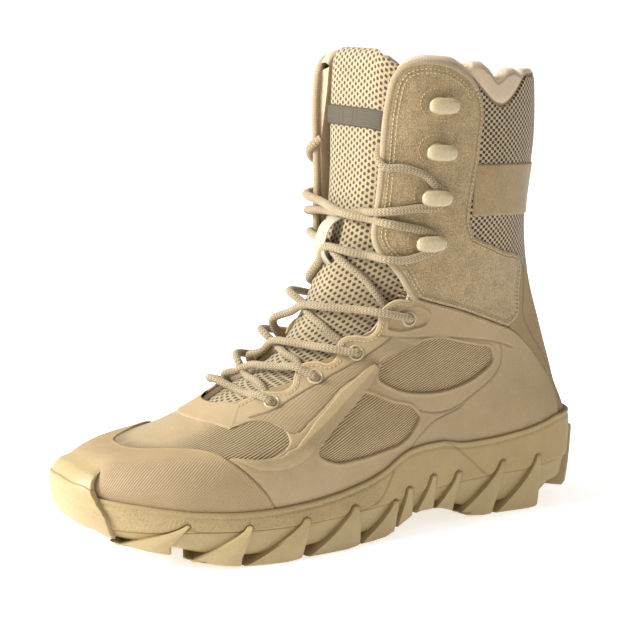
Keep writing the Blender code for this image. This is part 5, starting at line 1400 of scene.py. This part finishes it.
# Laces: braided tubes through the eyelets, under the keeper and round the hooks.
laceLook = {'radius': 2.35, 'squash': 0.88, 'step': 0.7}
laceRuns = {
    # place by place: turn (past 1 it is the inner side), level, height over the upper's surface
    'bar': ((0.785, 0.445, -3), (0.785, 0.445, 0.8), (0.781, 0.44, 3.6), (0.81, 0.45, 4.4), (0.872, 0.468, -0.7),
        (1, 0.48, -0.8), (1.087, 0.464, 6.4), (1.15, 0.453, 5.6), (1.205, 0.446, 3.4), (1.215, 0.445, 0.8),
        (1.215, 0.445, -3)),
    'R2': ((0.748, 0.502, -3), (0.748, 0.502, 0.8), (0.744, 0.498, 3.6), (0.77, 0.505, 4.6), (0.808, 0.516, 5),
        (0.87, 0.524, 0.9), (0.933, 0.524, 0.9), (1.018, 0.517, 1), (1.075, 0.497, 1.5), (1.12, 0.48, 3),
        (1.16, 0.466, -1.5), (1.19, 0.456, -5)),
    'R3': ((1.252, 0.502, -3), (1.252, 0.502, 0.8), (1.235, 0.503, 3.8), (1.18, 0.507, 7), (1.12, 0.51, 7.6),
        (1.07, 0.51, 4.5), (1.02, 0.508, -3), (0.97, 0.506, -2.9), (0.915, 0.5, -2.5), (0.865, 0.487, -2.7),
        (0.83, 0.472, -3.2), (0.8, 0.46, -5.4)),
    'R4': ((0.7, 0.55, -3), (0.7, 0.55, 0.8), (0.698, 0.549, 3.4), (0.73, 0.552, 4.7), (0.768, 0.557, 4.8),
        (0.845, 0.566, 0.2), (0.96, 0.57, -0.1), (1.04, 0.56, 0.1), (1.085, 0.54, 0.1), (1.12, 0.524, 2.6),
        (1.16, 0.512, -1.5), (1.2, 0.505, -5)),
    'R5': ((1.3, 0.55, -3), (1.3, 0.55, 0.8), (1.28, 0.552, 3.8), (1.21, 0.558, 7), (1.13, 0.564, 7.6),
        (1.08, 0.566, 5), (1.02, 0.564, -4.2), (0.97, 0.56, -4.1), (0.928, 0.555, -3.9), (0.843, 0.539, -2.9),
        (0.805, 0.523, -2.8), (0.77, 0.511, -5.4)),
    'R6': ((0.607, 0.608, -3), (0.607, 0.608, 0.8), (0.612, 0.61, 3.2), (0.64, 0.615, 4.6), (0.687, 0.621, 4.7),
        (0.772, 0.625, -1.1), (0.887, 0.627, -1.7), (0.978, 0.626, -1.7), (1.06, 0.61, -1.4), (1.12, 0.588, 4.5),
        (1.16, 0.572, 2), (1.2, 0.56, -2.5), (1.24, 0.553, -5.4)),
    'R7': ((1.393, 0.608, -3), (1.393, 0.608, 0.8), (1.37, 0.612, 3.8), (1.28, 0.624, 4.5), (1.17, 0.634, 2.5),
        (1.08, 0.634, 0), (1.02, 0.629, -6), (0.95, 0.617, -5.6), (0.9, 0.61, -5.3), (0.846, 0.6, -4.5),
        (0.785, 0.583, -4.4), (0.745, 0.57, -4), (0.715, 0.558, -5.6)),
    'A': ((0.645, 0.622, -6), (0.68, 0.634, -4.6), (0.738, 0.66, -5), (0.819, 0.681, -6), (0.936, 0.699, -6.6),
        (1, 0.711, -7.3), (1.08, 0.714, -6.9), (1.18, 0.716, -0.5), (1.26, 0.717, 4.6), (1.33, 0.716, 4.6),
        (1.375, 0.712, 4.2), (1.402, 0.714, 4.1), (1.414, 0.726, 4.1), (1.402, 0.739, 4.1), (1.375, 0.742, 4.2),
        (1.31, 0.744, 4.9), (1.235, 0.746, 5), (1.16, 0.748, 1), (1.08, 0.75, -8.4), (0.994, 0.752, -8.9),
        (0.844, 0.757, -7.2), (0.79, 0.762, 2), (0.752, 0.766, 4.8), (0.683, 0.773, 4.8), (0.64, 0.777, 4.3),
        (0.606, 0.779, 4.1), (0.59, 0.786, 4.1), (0.588, 0.797, 4.1)),
    'endLat': ((0.588, 0.797, 4.1), (0.594, 0.806, 4.2), (0.612, 0.812, 4.4), (0.64, 0.823, 4.5), (0.678, 0.829, 4.6),
        (0.713, 0.831, 4.6), (0.744, 0.83, 4.6), (0.775, 0.829, 4.5), (0.797, 0.835, 2.2), (0.806, 0.843, -1.6),
        (0.8, 0.851, -4.6)),
    'B': ((1.36, 0.622, -6), (1.32, 0.634, -4.6), (1.25, 0.645, -5.4), (1.15, 0.656, -6), (1.07, 0.668, -6.3),
        (1.01, 0.69, -6.5), (0.985, 0.706, -3.1), (0.9, 0.706, -3), (0.83, 0.703, -3.2), (0.766, 0.701, -2.7),
        (0.72, 0.7, 4.4), (0.693, 0.7, 4.9), (0.66, 0.702, 4.9), (0.622, 0.709, 4.3), (0.598, 0.715, 4.1),
        (0.586, 0.727, 4.1), (0.594, 0.739, 4.1), (0.619, 0.744, 4.3), (0.679, 0.748, 4.9), (0.745, 0.75, 5),
        (0.805, 0.75, -2.8), (0.9, 0.752, -3.6), (0.999, 0.757, -4.6), (1.08, 0.762, -5.3), (1.16, 0.768, 2.6),
        (1.225, 0.773, 5.6), (1.3, 0.778, 5), (1.36, 0.78, 4.3), (1.394, 0.78, 4.1), (1.412, 0.788, 4.1),
        (1.412, 0.798, 4.1)),
    'endMed': ((1.412, 0.798, 4.1), (1.403, 0.807, 4.2), (1.37, 0.812, 4.6), (1.31, 0.816, 5), (1.26, 0.822, 5.4),
        (1.222, 0.831, 5), (1.198, 0.84, 2.4), (1.188, 0.848, -1.5), (1.194, 0.854, -4.6)),
}


def makeLaces():
    # Each lace is a tube along the cubic through its places, sampled evenly; the two ends are tucked behind the
    # flaps.
    p = laceLook
    tubes = {}
    for key, stops in laceRuns.items():
        knots = lifted(*np.array(stops).T)
        run = runOf(knots)
        at = np.linspace(0, run[-1], int(run[-1] / p['step']) + 2)
        path = np.stack([cubicThrough(run, k, at) for k in knots.T], -1)
        tubes[key] = path, tubeAlong(path, p['radius'], 14, p['squash'])
    crossings = joinedPiece([made for key, (path, made) in tubes.items() if not key.startswith('end')], 'lace')
    makePiece('laces', *crossings, slot='lace_cord',
              replaced=['lace_bar'] + [f'lace_cross_{k}' for k in range(1, 6)])
    for side, key in (('Lateral', 'endLat'), ('Medial', 'endMed')):
        path, made = tubes[key]
        end = makePiece('laceEnd' + side, *joinedPiece([made], 'lace'), slot='lace_cord',
                        replaced=['lace_end_' + side.lower()])


makeLaces()
print('laces made')
bpy.data.objects['insole'].material_slots[0].material = finishes['insole']


# Floor and light.
studioLook = {
    'floorHalf': 40, 'rise': 1.6, 'riseFrom': 9, 'riseTo': 16, 'floor': 0.93, 'floorGlow': 0.61,      # m
    'sky': (1.0, 0.985, 0.965, 1), 'skyStrength': 0.44, 'lampColour': (0.92, 0.965, 1.0), 'aim': (0, -0.12, 0.1)}
studioLamps = (
    # name, place in m, watts, size in m
    ('key', (-0.25, -1.95, 1.15), 90, 0.7),
    ('top', (-0.5, -0.9, 1.9), 16, 0.9))


def makeStudio():
    # The floor is a flat grid that rises far away; the sky is white, and soft lamps stand round the boot.
    p = studioLook
    s = np.linspace(-1, 1, 41) * p['floorHalf']
    x, y = np.meshgrid(s, s)
    rise = p['rise'] * ramp(np.hypot(x, y), p['riseFrom'], p['riseTo'])
    mesh = bpy.data.meshes.new('floor')
    mesh.from_pydata(np.stack([x, y, rise - 0.0004], -1).reshape(-1, 3).tolist(), [], gridFaces(41, 41).tolist())
    pale = bpy.data.materials.new('floor')
    pale.use_nodes = True
    shader = pale.node_tree.nodes['Principled BSDF']
    for key, value in (('Base Color', (p['floor'],) * 3 + (1,)), ('Roughness', 0.6), ('Specular IOR Level', 0.2),
                       ('Emission Color', (1, 1, 1, 1)), ('Emission Strength', p['floorGlow'])):
        shader.inputs[key].default_value = value
    mesh.materials.append(pale)
    floor = linked('floor', mesh)
    world = bpy.data.worlds.new('sky')
    bpy.context.scene.world = world
    world.use_nodes = True
    sky = world.node_tree.nodes['Background'].inputs
    sky[0].default_value, sky[1].default_value = p['sky'], p['skyStrength']
    for name, place, power, size in studioLamps:
        lamp = bpy.data.lights.new(name, 'AREA')
        lamp.energy, lamp.size, lamp.color = power, size, p['lampColour']
        item = linked(name, lamp)
        item.location = place
        x, y, z = np.array(place) - p['aim']
        item.rotation_euler = (np.arctan2(np.hypot(x, y), z), 0, np.arctan2(y, x) + np.pi / 2)


makeStudio()
bpy.context.scene.view_settings.view_transform = 'Standard'
